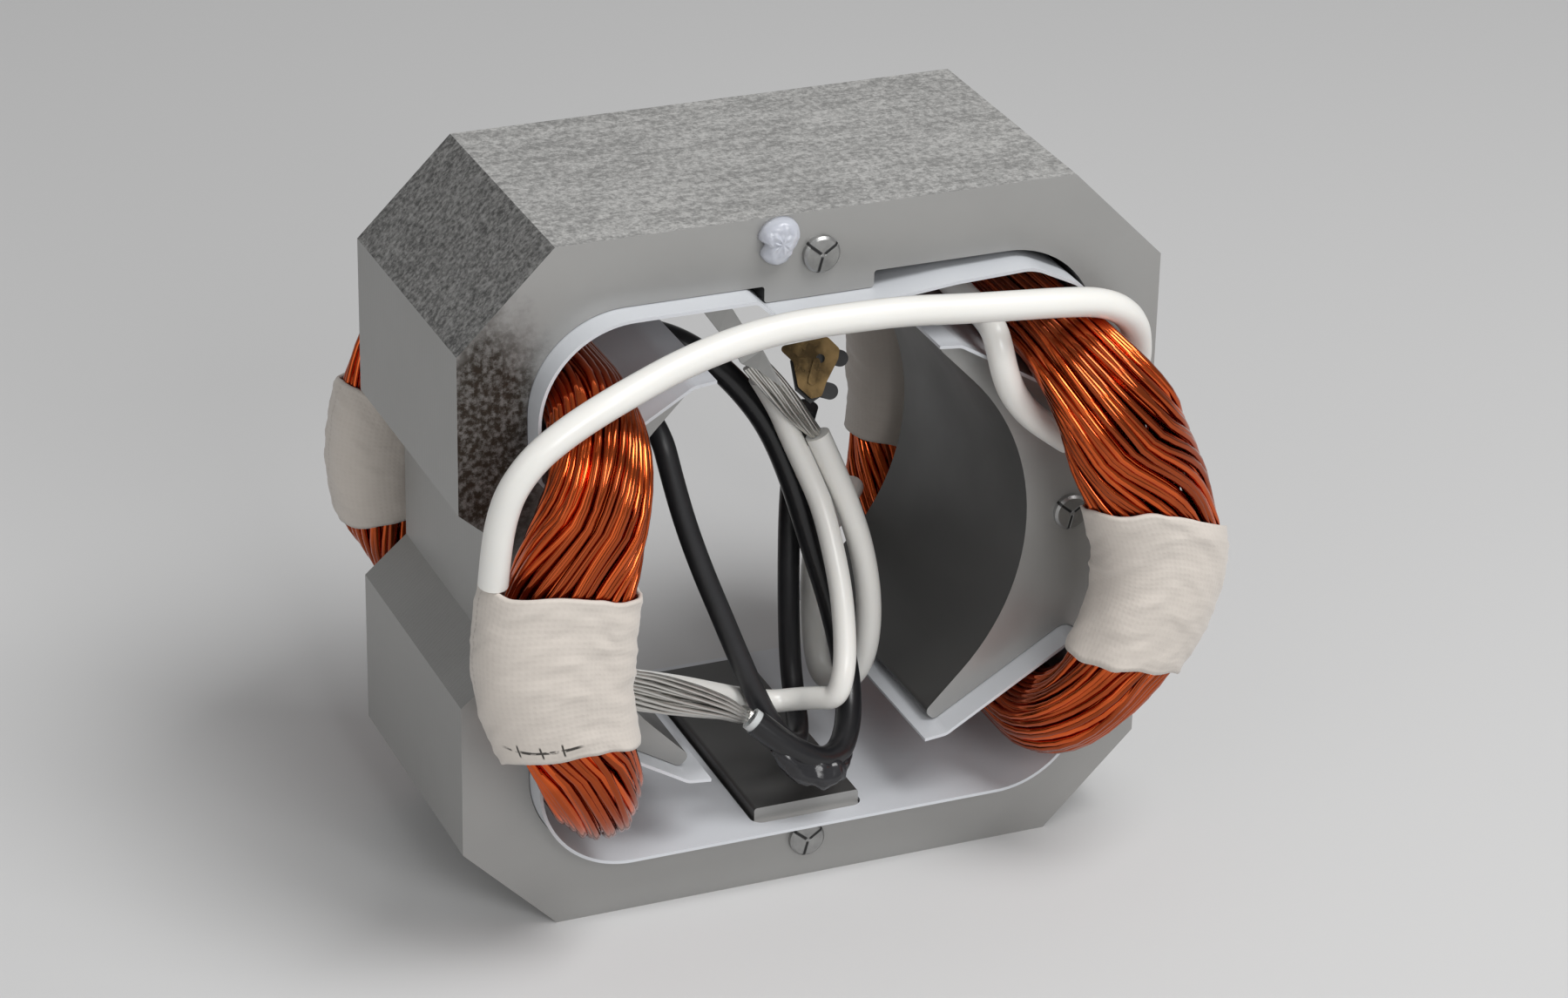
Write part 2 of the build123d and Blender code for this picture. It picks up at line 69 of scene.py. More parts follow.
# Windings: the same driving sizes as the solids
slot_x = 29.9 * mm
slot_z = 25.8 * mm
slot_half_width = 5.2 * mm
slot_half_height = 5.0 * mm
slot_tilt = 45.0
bundle_power = 2.4
mouth_clearance = 1.0 * mm
bulge_lean = 1.12


class EndTurn(NamedTuple):
    """Sizes of one end turn; the twist of its wires is in degrees, the spread is above its tape."""

    bulge: float
    bend: float
    half_width: float
    half_thickness: float
    twist: float
    spread: float = 0.0


left_front_turn = EndTurn(6.2 * mm, 9.9 * mm, 7.9 * mm, 6.3 * mm, -88.0)
left_rear_turn = EndTurn(7.2 * mm, 10.3 * mm, 8.4 * mm, 6.4 * mm, -88.0)
right_front_turn = EndTurn(11.3 * mm, 10.4 * mm, 7.8 * mm, 6.4 * mm, -118.0, 2.4 * mm)
right_rear_turn = EndTurn(6.2 * mm, 11.2 * mm, 9.0 * mm, 6.6 * mm, -118.0)

# Leads and sleeves, each from where it leaves the windings
crossover_route = [
    (-0.0449, -0.0305, 0.0096), (-0.0447, -0.0312, 0.0148), (-0.044, -0.0318, 0.0194),
    (-0.0428, -0.0322, 0.0226), (-0.0403, -0.0324, 0.0258), (-0.0366, -0.0322, 0.0282),
    (-0.0323, -0.0318, 0.0302), (-0.0273, -0.031, 0.0319), (-0.022, -0.03, 0.0334),
    (-0.0153, -0.029, 0.0347), (-0.0082, -0.0282, 0.0353), (-0.0007, -0.0278, 0.0351),
    (0.0072, -0.0276, 0.0348), (0.015, -0.0276, 0.0339), (0.0219, -0.0278, 0.0334),
    (0.0278, -0.0276, 0.0328), (0.0327, -0.027, 0.0319), (0.0364, -0.026, 0.0299),
    (0.039, -0.0244, 0.0269), (0.0404, -0.0228, 0.0234), (0.0409, -0.0215, 0.0197),
    (0.0407, -0.0211, 0.0162),
]
inner_sleeve_route = [
    (0.023, 0.0225, 0.0265), (0.0216, 0.018, 0.0286), (0.021, 0.011, 0.0296),
    (0.0209, 0.0025, 0.0297), (0.0213, -0.006, 0.0292), (0.0219, -0.013, 0.0282),
    (0.0213, -0.0216, 0.0285), (0.0213, -0.0238, 0.0265), (0.0219, -0.0242, 0.0234),
    (0.0234, -0.0236, 0.0199), (0.0261, -0.0224, 0.0164), (0.0294, -0.0215, 0.0134),
    (0.0325, -0.021, 0.011),
]
white_lead_route = [
    (-0.0261, -0.0264, -0.0086), (-0.0194, -0.0215, -0.013), (-0.0131, -0.017, -0.0174),
    (-0.0065, -0.0122, -0.0221), (-0.0019, -0.0112, -0.0239), (0.001, -0.0124, -0.0234),
    (0.003, -0.0148, -0.0224), (0.0046, -0.0168, -0.0217), (0.0057, -0.0164, -0.018),
    (0.0068, -0.0136, -0.0144), (0.0074, -0.0106, -0.0099), (0.0073, -0.0078, -0.0052),
    (0.0067, -0.0054, -0.0004), (0.0051, -0.0036, 0.0041), (0.0033, -0.0025, 0.0087),
    (0.0016, -0.0027, 0.0128), (-0.001, -0.0032, 0.0171),
]
white_sleeve_route = [
    (0.0254, 0.0274, -0.0164), (0.0228, 0.0238, -0.0162), (0.0202, 0.02, -0.0156),
    (0.0176, 0.016, -0.0144), (0.0146, 0.0112, -0.0126), (0.0114, 0.0062, -0.0112),
    (0.0094, 0.003, -0.0144), (0.0091, 0.0018, -0.0197), (0.009, 0.0004, -0.0246),
    (0.009, -0.002, -0.0269), (0.0101, -0.0048, -0.0266), (0.0116, -0.0068, -0.0244),
    (0.0127, -0.0074, -0.0201), (0.013, -0.007, -0.0142), (0.0122, -0.0062, -0.0077),
    (0.0106, -0.0052, -0.0018), (0.0089, -0.004, 0.0031), (0.0069, -0.0032, 0.008),
]
black_sleeve_route = [
    (-0.0262, 0.026, 0.01), (-0.024, 0.022, 0.0132), (-0.0203, 0.0175, 0.0167),
    (-0.0163, 0.0125, 0.0192), (-0.0125, 0.0082, 0.0204), (-0.0089, 0.005, 0.02),
    (-0.005, 0.003, 0.0174), (-0.0013, 0.0018, 0.0134), (0.0021, 0.0006, 0.0083),
    (0.0046, -0.001, 0.0015), (0.0065, -0.0034, -0.0069), (0.0079, -0.0056, -0.013),
    (0.0085, -0.0078, -0.0176), (0.0086, -0.0102, -0.0214), (0.0079, -0.013, -0.0245),
    (0.0064, -0.0162, -0.0265), (0.0041, -0.0192, -0.028), (0.001, -0.0208, -0.0279),
    (-0.0022, -0.0208, -0.026), (-0.005, -0.02, -0.0237), (-0.0072, -0.019, -0.0217),
]
black_lead_route = [
    (-0.0259, 0.027, 0.0014), (-0.0216, 0.021, 0.0074), (-0.0185, 0.011, 0.013),
    (-0.017, 0.001, 0.017), (-0.0156, -0.0076, 0.014), (-0.0147, -0.0092, 0.0085),
    (-0.0135, -0.0106, 0.0028), (-0.0118, -0.012, -0.0031), (-0.0098, -0.0132, -0.0088),
    (-0.0079, -0.0144, -0.0143), (-0.006, -0.0152, -0.0194), (-0.0041, -0.0158, -0.0238),
    (-0.0015, -0.015, -0.0276), (0.0015, -0.0116, -0.0304), (0.0037, -0.007, -0.0308),
    (0.0049, -0.0024, -0.0287), (0.0052, -0.0002, -0.0245), (0.0052, 0.0006, -0.0181),
    (0.0053, 0.0012, -0.0109), (0.0057, 0.0022, -0.0041), (0.0066, 0.0034, 0.0019),
    (0.0078, 0.0036, 0.0064), (0.0082, 0.0031, 0.009),
]


# Sizes and colours that a user would change
def colour_setting(name, description, default):
    return FloatVectorProperty(
        name=name, description=description, subtype="COLOR", default=default, min=0, max=1,
    )


def length_setting(name, description, default, low, high):
    return FloatProperty(
        name=name, description=description, unit="LENGTH", default=default, min=low, max=high,
    )


def count_setting(name, description, default, low, high):
    return IntProperty(name=name, description=description, default=default, min=low, max=high)


class StackSettings(bpy.types.PropertyGroup):
    """Bare electrical steel of the stack"""

    steel: colour_setting("Steel", "Colour of the bare sheets", (0.36, 0.357, 0.348))
    # Colour of the painted dark reflection of the coil on the front
    painted_reflection: colour_setting("Reflection", "Colour of the oil stain on the front", (0.03, 0.022, 0.015))
    sheet_thickness: length_setting(
        "Sheet thickness", "Thickness of one punched sheet", 0.65 * mm, 0.2 * mm, 2 * mm,
    )


class WindingSettings(bpy.types.PropertyGroup):
    """Enamelled wire of the two windings"""

    enamel: colour_setting("Enamel", "Colour of the enamelled copper", (0.64, 0.105, 0.018))
    wire_diameter: length_setting(
        "Wire diameter", "Diameter of one wire over its enamel", 1.0 * mm, 0.3 * mm, 2 * mm,
    )
    outer_wires: count_setting("Outer wires", "Wires that show round each bundle", 39, 12, 80)
    inner_wires: count_setting("Inner wires", "Wires that show between the outer ones", 28, 8, 80)
    core_wires: count_setting("Core wires", "Wires that close the gaps from within", 20, 4, 60)
    loose_wires: count_setting(
        "Loose wires", "Wires that lie over the others with less lean", 6, 0, 20,
    )
    wander: FloatProperty(
        name="Wander", description="How far a wire strays round the bundle, in degrees",
        default=3.2, min=0, max=20,
    )


class TapeSettings(bpy.types.PropertyGroup):
    """Cotton tape round the end turns"""

    cotton: colour_setting("Cotton", "Colour of the tape", (0.60, 0.548, 0.495))
    stand_off: length_setting(
        "Stand-off", "Distance of the cloth from the bundle", 0.55 * mm, 0.2 * mm, 2 * mm,
    )
    crease: length_setting("Crease", "Height of the creases in the cloth", 0.3 * mm, 0, 1 * mm)


class LeadSettings(bpy.types.PropertyGroup):
    """Sleeves, leads and bare strands"""

    ivory: colour_setting("Ivory", "Colour of the white sleeves", (0.78, 0.77, 0.735))
    black: colour_setting("Black", "Colour of the black sleeve and lead", (0.008, 0.008, 0.009))
    strand_diameter: length_setting(
        "Strand diameter", "Diameter of one bare tinned strand", 0.5 * mm, 0.1 * mm, 1 * mm,
    )


class SmallPartSettings(bpy.types.PropertyGroup):
    """Slot liners and push-on terminal"""

    liner: colour_setting("Liner", "Colour of the slot liners", (0.60, 0.62, 0.65))
    bronze: colour_setting("Bronze", "Colour of the push-on terminal", (0.16, 0.105, 0.045))


def settings(name):
    return getattr(bpy.context.scene, name)


# Shader graphs
def new_material(name):
    material = bpy.data.materials.new(name)
    material.use_nodes = True
    tree = material.node_tree
    tree.nodes.clear()
    output = tree.nodes.new("ShaderNodeOutputMaterial")
    shader = tree.nodes.new("ShaderNodeBsdfPrincipled")
    tree.links.new(shader.outputs[0], output.inputs[0])
    return material, tree, shader


def feed(tree, socket, value):
    """Links a socket, or writes a plain value."""
    if isinstance(value, bpy.types.NodeSocket):
        tree.links.new(value, socket)
    elif value is not None:
        socket.default_value = value


def dress(tree, shader, looks):
    """Gives each named socket of the shader its link or plain value."""
    for name, value in looks.items():
        feed(tree, shader.inputs[name], value)


def object_place(tree):
    return tree.nodes.new("ShaderNodeTexCoord").outputs["Object"]


def scaled(tree, vector, scale):
    node = tree.nodes.new("ShaderNodeMapping")
    feed(tree, node.inputs["Vector"], vector)
    node.inputs["Scale"].default_value = scale
    return node.outputs[0]


def mottle(tree, vector, scale, detail=4.0, roughness=0.55):
    node = tree.nodes.new("ShaderNodeTexNoise")
    feed(tree, node.inputs["Vector"], vector)
    node.inputs["Scale"].default_value = scale
    node.inputs["Detail"].default_value = detail
    node.inputs["Roughness"].default_value = roughness
    return node.outputs["Fac"]


def compute(tree, operation, first, second=None, third=None):
    node = tree.nodes.new("ShaderNodeMath")
    node.operation = operation
    for socket, value in zip(node.inputs, (first, second, third)):
        feed(tree, socket, value)
    return node.outputs[0]


def times(tree, first, second):
    return compute(tree, "MULTIPLY", first, second)


def minus(tree, first, second):
    return compute(tree, "SUBTRACT", first, second)


def larger(tree, first, second):
    return compute(tree, "MAXIMUM", first, second)


def between(tree, value, low, high, start=0.0, end=1.0):
    """Spreads the range from low to high over start to end, smoothly, and clamps it."""
    node = tree.nodes.new("ShaderNodeMapRange")
    node.interpolation_type = "SMOOTHSTEP"
    for socket, number in zip(node.inputs, (value, low, high, start, end)):
        feed(tree, socket, number)
    return node.outputs[0]


def blend_colours(tree, share, first, second):
    node = tree.nodes.new("ShaderNodeMix")
    node.data_type = "RGBA"
    feed(tree, node.inputs[0], share)
    for socket, value in ((node.inputs[6], first), (node.inputs[7], second)):
        feed(tree, socket, value if isinstance(value, bpy.types.NodeSocket) else (*value, 1))
    return node.outputs[2]


def parts_of(tree, vector):
    node = tree.nodes.new("ShaderNodeSeparateXYZ")
    feed(tree, node.inputs[0], vector)
    return node.outputs


def wire_chance(tree):
    """A number from 0 to 1 that differs from wire to wire."""
    return tree.nodes.new("ShaderNodeNewGeometry").outputs["Random Per Island"]


def bumped(tree, shader, height, distance, strength):
    node = tree.nodes.new("ShaderNodeBump")
    node.inputs["Distance"].default_value = distance
    node.inputs["Strength"].default_value = strength
    feed(tree, node.inputs["Height"], height)
    tree.links.new(node.outputs[0], shader.inputs["Normal"])


def tint(colour, factor):
    return tuple(min(1.0, part * factor) for part in colour)


def clouded_material(name, scale, low, high, looks, bump=None, grain=None, detail=4.0):
    """A finish that drifts between two shades; bump is its height and strength, and the grain
    is the scale of the bump where that differs from the shades'."""
    material, tree, shader = new_material(name)
    place = object_place(tree)
    cloud = mottle(tree, place, scale, detail)
    dress(tree, shader, {"Base Color": blend_colours(tree, cloud, low, high), **looks})
    if bump:
        bumped(tree, shader, mottle(tree, place, grain, 2.0) if grain else cloud, *bump)
    return material


# Steel: distances from the axis between which painted shade darkens it within the bore, the height at
# which the sandy edges begin, and the painted dark reflection's middle, squeeze along Z, edge and ripple
shaded_inside_edge = (38.5 * mm, 36.5 * mm)
sandy_start = (28 * mm, 30 * mm)
reflection_x, reflection_z = -41.5 * mm, 22.0 * mm
reflection_squeeze = 0.5
reflection_edge = (13.5 * mm, 7.5 * mm)
reflection_ripple = 6.0 * mm


def steel_material():
    """Dull bare sheets, sandy edges on top, painted shade within the bore and on the slopes, a painted dark
    reflection in front.
    """
    chosen = settings("stator_stack")
    material, tree, shader = new_material("dull electrical steel")
    place = object_place(tree)
    facing = parts_of(tree, tree.nodes.new("ShaderNodeTexCoord").outputs["Normal"])
    x, y, z = parts_of(tree, place)
    end_face = between(tree, compute(tree, "ABSOLUTE", facing[1]), 0.6, 0.8)
    away = compute(tree, "SQRT", compute(tree, "ADD", times(tree, x, x), times(tree, z, z)))
    shaded_inside = times(tree, between(tree, away, *shaded_inside_edge), minus(tree, 1.0, end_face))
    cloud = mottle(tree, place, 60.0, 5.0)
    steel = blend_colours(tree, cloud, tint(chosen.steel, 0.9), tint(chosen.steel, 1.1))

    # Sandy speckle of the sheet edges on the top and the slopes beside it, with painted shade on the slopes
    upper = times(tree, between(tree, facing[2], 0.4, 0.6), between(tree, z, *sandy_start))
    sandy = times(tree, upper, minus(tree, 1.0, shaded_inside))
    top_face = between(tree, facing[2], 0.85, 0.95)
    speckle = mottle(tree, place, 1500.0, 4.0, 0.75)
    streak = mottle(tree, scaled(tree, place, (0.15, 1.0, 1.0)), 700.0, 2.0)
    grain = compute(tree, "MULTIPLY_ADD", speckle, 0.8, times(tree, streak, 0.2))
    edge_light = between(tree, grain, 0.36, 0.66)
    flat_edges = blend_colours(tree, edge_light, tint(chosen.steel, 0.75), tint(chosen.steel, 1.75))
    # Painted shade: the edges on the slopes are much darker than those on the top
    shaded_slope_edges = blend_colours(tree, edge_light, tint(chosen.steel, 0.16), tint(chosen.steel, 0.95))
    edges = blend_colours(tree, top_face, shaded_slope_edges, flat_edges)
    steel = blend_colours(tree, times(tree, sandy, 0.9), steel, edges)
    # Painted shade: the steel within the bore and the slots is darkened to a quarter
    steel = blend_colours(tree, shaded_inside, steel, tint(chosen.steel, 0.25))

    # Painted dark reflection of the coil on the front beside the left slot
    spot = tree.nodes.new("ShaderNodeVectorMath")
    spot.operation = "DISTANCE"
    tree.links.new(scaled(tree, place, (1.0, 1.0, reflection_squeeze)), spot.inputs[0])
    spot.inputs[1].default_value = (reflection_x, -half_length, reflection_z * reflection_squeeze)
    rim = mottle(tree, place, 240.0, 5.0, 0.65)
    reach = compute(tree, "ADD", spot.outputs["Value"], times(tree, rim, reflection_ripple))
    front = times(tree, end_face, between(tree, facing[1], 0.0, -0.2))
    reflection_share = times(tree, between(tree, reach, *reflection_edge), front)
    dots = between(tree, mottle(tree, place, 1300.0, 4.0, 0.7), 0.3, 0.6, 0.5, 1.0)
    # Painted reflection: the front beside the left slot is blended towards the dark colour
    steel = blend_colours(tree, times(tree, reflection_share, dots), steel, chosen.painted_reflection)
    rough = between(tree, cloud, 0.2, 0.8, 0.36, 0.5)
    rough = compute(tree, "ADD", rough, times(tree, sandy, 0.25))
    dress(tree, shader, {"Base Color": steel, "Metallic": 0.55, "Roughness": rough})

    # The sheets' edges as fine lines across the block
    layer = compute(tree, "DIVIDE", y, chosen.sheet_thickness)
    line = between(tree, compute(tree, "PINGPONG", layer, 0.5), 0.0, 0.12)
    line = larger(tree, line, larger(tree, end_face, shaded_inside))
    height = compute(tree, "MULTIPLY_ADD", line, 0.3, times(tree, grain, sandy))
    bumped(tree, shader, height, 0.14 * mm, 0.7)
    return material


# Rivet heads: directions of the staking marks, their edges across and their start
staking_angles = (35, 140, 255)
mark_edge = (0.24 * mm, 0.1 * mm)
mark_start = (0.1 * mm, 0.4 * mm)


def rivet_material(name):
    """Worn steel with the three grooves that staking left on the head, their near black colour painted
    shade.
    """
    material, tree, shader = new_material(f"worn steel of {name}")
    low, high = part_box(name)
    middle = (low + high) / 2
    place = object_place(tree)
    x, _, z = parts_of(tree, place)
    x = minus(tree, x, middle.x)
    z = minus(tree, z, middle.z)
    shaded_marks = 0.0
    for angle in staking_angles:
        c, s = cos(radians(angle)), sin(radians(angle))
        along = compute(tree, "MULTIPLY_ADD", x, c, times(tree, z, s))
        off = compute(tree, "MULTIPLY_ADD", z, c, times(tree, x, -s))
        line = between(tree, compute(tree, "ABSOLUTE", off), *mark_edge)
        line = times(tree, line, between(tree, along, *mark_start))
        shaded_marks = larger(tree, line, shaded_marks)
    cloud = mottle(tree, place, 700.0)
    shade = blend_colours(tree, cloud, (0.22, 0.22, 0.22), (0.44, 0.44, 0.43))
    # Painted shade darkens the staking grooves
    shade = blend_colours(tree, shaded_marks, shade, (0.04, 0.04, 0.04))
    dress(tree, shader, {"Base Color": shade, "Metallic": 0.8, "Roughness": 0.36})
    bumped(tree, shader, minus(tree, times(tree, cloud, 0.4), shaded_marks), 0.25 * mm, 0.7)
    return material


def liner_material():
    colour = settings("stator_small").liner
    looks = {"Roughness": 0.34, "Specular IOR Level": 0.6}
    shades = tint(colour, 0.9), tint(colour, 1.1)
    return clouded_material("satin slot liner", 45.0, *shades, looks, (0.5 * mm, 0.35), 70.0, 3.0)


# Materials of the windings and their tape
def enamel_material():
    colour = settings("stator_windings").enamel
    material, tree, shader = new_material("enamelled copper")
    shade = blend_colours(tree, wire_chance(tree), tint(colour, 0.42), tint(colour, 1.25))
    stretch = mottle(tree, object_place(tree), 150.0, 3.0)
    darker = between(tree, stretch, 0.4, 0.75, 0.0, 0.4)
    dress(tree, shader, {
        "Base Color": blend_colours(tree, darker, shade, tint(colour, 0.35)),
        "Metallic": 1.0,
        "Roughness": 0.15,
        "Coat Weight": 0.3,
        "Coat Roughness": 0.06,
    })
    return material


# Threads of the weave, round the bundle and along it, and the stitches of the left front wrap:
# the row's height and dip, its half width, how far its ticks reach, and where it starts and ends
warp_threads = 150.0
weft_threads = 60.0
stitch_row = 0.865
stitch_dip = 0.055
stitch_edge = (0.013, 0.006)
tick_count = 21.0
tick_reach = (0.05, 0.03)
stitch_start = (0.05, 0.08)
stitch_end = (0.24, 0.22)


def cotton_material(name, stitched):
    """Off-white cotton; the stitched one has a dark row of thread near its lower edge."""
    colour = settings("stator_tape").cotton
    material, tree, shader = new_material(name)
    u, v, _ = parts_of(tree, tree.nodes.new("ShaderNodeUVMap").outputs[0])
    warp = compute(tree, "PINGPONG", times(tree, u, warp_threads), 1.0)
    weft = compute(tree, "PINGPONG", times(tree, v, weft_threads), 1.0)
    weave = times(tree, warp, weft)
    place = object_place(tree)
    cloud = mottle(tree, place, 140.0, 4.0)
    warm = blend_colours(tree, cloud, tint(colour, 0.92), tint(colour, 1.07))
    warm = blend_colours(tree, times(tree, weave, 0.2), warm, tint(colour, 0.85))
    if stitched:
        hollow = times(tree, between(tree, u, 0.02, 0.15), stitch_dip)
        off_line = compute(tree, "ABSOLUTE", minus(tree, minus(tree, v, hollow), stitch_row))
        worn = between(tree, mottle(tree, place, 800.0, 3.0), 0.38, 0.5)
        thread = times(tree, between(tree, off_line, *stitch_edge), worn)
        pitch = compute(tree, "PINGPONG", times(tree, u, tick_count), 0.5)
        ticks = times(tree, between(tree, pitch, 0.06, 0.03), between(tree, off_line, *tick_reach))
        thread = larger(tree, thread, ticks)
        sides = times(tree, between(tree, u, *stitch_start), between(tree, u, *stitch_end))
        warm = blend_colours(tree, times(tree, thread, sides), warm, (0.03, 0.025, 0.02))
    dress(tree, shader, {"Base Color": warm, "Roughness": 0.8, "Sheen Weight": 0.25})
    fold = mottle(tree, scaled(tree, place, (0.4, 0.4, 1.6)), 150.0, 3.0)
    height = compute(tree, "ADD", times(tree, weave, 0.1), times(tree, fold, 0.7))
    bumped(tree, shader, height, 0.4 * mm, 0.6)
    return material


# Materials of the leads and the small parts
def ivory_material():
    colour = settings("stator_leads").ivory
    looks = {
        "Roughness": 0.33,
        "Subsurface Weight": 0.12,
        "Subsurface Radius": (0.0012, 0.001, 0.0008),
        "Coat Weight": 0.2,
        "Coat Roughness": 0.2,
    }
    shades = tint(colour, 0.95), tint(colour, 1.04)
    return clouded_material("ivory sleeve", 90.0, *shades, looks, (0.15 * mm, 0.3), 260.0)


def black_material(name, roughness, lift):
    """Black, with patches that are lighter by the lift."""
    colour = settings("stator_leads").black
    looks = {"Roughness": roughness}
    return clouded_material(name, 240.0, colour, tint(colour, lift), looks, (0.15 * mm, 0.35))


def tinned_material(name, low, high, roughness):
    material, tree, shader = new_material(name)
    cloud = mottle(tree, object_place(tree), 420.0)
    share = compute(tree, "MULTIPLY_ADD", wire_chance(tree), 0.5, times(tree, cloud, 0.5))
    shade = blend_colours(tree, share, low, high)
    dress(tree, shader, {"Base Color": shade, "Metallic": 0.9, "Roughness": roughness})
    bumped(tree, shader, cloud, 0.1 * mm, 0.4)
    return material


def bronze_material():
    colour = settings("stator_small").bronze
    material, tree, shader = new_material("aged bronze")
    cloud = mottle(tree, object_place(tree), 300.0, 5.0)
    patches = between(tree, cloud, 0.3, 0.7)
    dress(tree, shader, {
        "Base Color": blend_colours(tree, patches, tint(colour, 0.45), tint(colour, 1.5)),
        "Metallic": 0.85,
        "Roughness": between(tree, cloud, 0.3, 0.8, 0.25, 0.5),
    })
    bumped(tree, shader, cloud, 0.15 * mm, 0.5)
    return material


def dab_material():
    looks = {
        "Roughness": 0.22,
        "Subsurface Weight": 0.4,
        "Subsurface Radius": (0.002, 0.002, 0.0022),
        "Transmission Weight": 0.15,
    }
    shades = (0.42, 0.44, 0.50), (0.66, 0.68, 0.74)
    return clouded_material("translucent silicone", 380.0, *shades, looks, (0.3 * mm, 0.5))


def lining_material():
    looks = {"Roughness": 0.2, "Transmission Weight": 0.35}
    return clouded_material("clear lining", 500.0, (0.7, 0.73, 0.73), (0.85, 0.88, 0.88), looks)


# Geometry Nodes tree that turns the edges of a mesh into round wires
def wire_tree():
    tree = bpy.data.node_groups.new("Round wires along edges", "GeometryNodeTree")
    face = tree.interface
    face.new_socket("Paths", in_out="INPUT", socket_type="NodeSocketGeometry")
    face.new_socket("Wire diameter", in_out="INPUT", socket_type="NodeSocketFloat")
    face.new_socket("Sides", in_out="INPUT", socket_type="NodeSocketInt")
    face.new_socket("Finish", in_out="INPUT", socket_type="NodeSocketMaterial")
    face.new_socket("Wires", in_out="OUTPUT", socket_type="NodeSocketGeometry")
    given = tree.nodes.new("NodeGroupInput")
    result = tree.nodes.new("NodeGroupOutput")
    paths = tree.nodes.new("GeometryNodeMeshToCurve")
    half = tree.nodes.new("ShaderNodeMath")
    half.operation = "MULTIPLY"
    half.inputs[1].default_value = 0.5
    profile = tree.nodes.new("GeometryNodeCurvePrimitiveCircle")
    sweep = tree.nodes.new("GeometryNodeCurveToMesh")
    sweep.inputs["Fill Caps"].default_value = True
    smooth = tree.nodes.new("GeometryNodeSetShadeSmooth")
    real = tree.nodes.new("GeometryNodeRealizeInstances")
    finish = tree.nodes.new("GeometryNodeSetMaterial")
    link = tree.links.new
    link(given.outputs["Paths"], paths.inputs["Mesh"])
    link(given.outputs["Wire diameter"], half.inputs[0])
    link(half.outputs[0], profile.inputs["Radius"])
    link(given.outputs["Sides"], profile.inputs["Resolution"])
    link(paths.outputs[0], sweep.inputs["Curve"])
    link(profile.outputs[0], sweep.inputs["Profile Curve"])
    link(sweep.outputs[0], smooth.inputs["Geometry"])
    link(smooth.outputs[0], real.inputs[0])
    link(real.outputs[0], finish.inputs["Geometry"])
    link(given.outputs["Finish"], finish.inputs["Material"])
    link(finish.outputs[0], result.inputs["Wires"])
    return tree


def link_to_scene(name, data):
    piece = bpy.data.objects.new(name, data)
    bpy.context.scene.collection.objects.link(piece)
    return piece


def make_wires(name, paths, closed, diameter, sides, material):
    """Sweeps each path with a round section, through the wire tree, into one plain mesh."""
    points, edges = [], []
    for path in paths:
        first = len(points)
        points.extend(path)
        edges.extend((first + i, first + i + 1) for i in range(len(path) - 1))
        if closed:
            edges.append((len(points) - 1, first))
    mesh = bpy.data.meshes.new(name + " paths")
    mesh.from_pydata(points, edges, [])
    piece = link_to_scene(name, mesh)
    modifier = piece.modifiers.new("wires", "NODES")
    modifier.node_group = bpy.data.node_groups.get("Round wires along edges") or wire_tree()
    chosen = {"Wire diameter": diameter, "Sides": sides, "Finish": material}
    for socket in modifier.node_group.interface.items_tree:
        if socket.name in chosen:
            modifier[socket.identifier] = chosen[socket.name]
    return make_plain(piece)


def make_plain(piece):
    """Swaps a piece's modifiers for the mesh that they give."""
    evaluated = piece.evaluated_get(bpy.context.evaluated_depsgraph_get())
    mesh = bpy.data.meshes.new_from_object(evaluated)
    mesh.name = piece.name
    piece.modifiers.clear()
    piece.data = mesh
    return piece


def add_mesh(name, points, faces, material, smooth=True):
    mesh = bpy.data.meshes.new(name)
    mesh.from_pydata([tuple(point) for point in points], [], faces)
    mesh.validate()
    piece = link_to_scene(name, mesh)
    mesh.materials.append(material)
    if smooth:
        mesh.shade_smooth()
    return piece


def band_faces(rows, columns, first=0):
    """Quads between neighbouring rings of points; each ring closes on itself."""
    for row in range(rows):
        for column in range(columns):
            a = first + row * columns + column
            b = first + row * columns + (column + 1) % columns
            yield a, b, b + columns, a + columns


def place_piece(piece, slot, *nodes):
    """The one body carries every piece, and each piece stands for some of the part's own solids."""
    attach(piece, "root")
    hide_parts(*nodes)
    return piece


def finish_nodes(material, *names):
    """Gives the part's own solids a finish."""
    for name in names:
        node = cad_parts[name]
        node.data.materials.clear()
        node.data.materials.append(material)


# Shape of the bundles, as in the part's own solids
def bundle_frame(side, end, share, turn):
    """Place of the bundle and its two cross directions; the share is 0 at the top slot, 1 at the bottom."""
    quarter = pi / 2 * turn.bend
    total = 2 * quarter + 2 * (slot_z - turn.bend)
    travel = min(share, 1 - share) * total
    half = 1 if share <= 0.5 else -1
    bent = min(travel / turn.bend, pi / 2)
    lean = max(share, 0.0) ** bulge_lean
    place = Vector((
        side * (slot_x + turn.bulge * sin(pi * lean) ** 2),
        end * (half_length + mouth_clearance + turn.bend * sin(bent)),
        half * (slot_z - turn.bend * (1 - cos(bent)) - max(travel - quarter, 0)),
    ))
    steepness = pi * bulge_lean * max(share, 1e-9) ** (bulge_lean - 1) / total
    slope = turn.bulge * sin(2 * pi * lean) * steepness
    along = Vector((side * slope, end * half * cos(bent), -sin(bent))).normalized()
    across = (Vector((side, 0, 0)) - along * (along.x * side)).normalized()
    normal = along * (-end * side)
    return place, across, normal.cross(across)


# Where an end turn spreads above its tape: how far down, towards which angle, and how sharply
spread_end = 0.45
spread_angle = 40.0
spread_power = 1.4


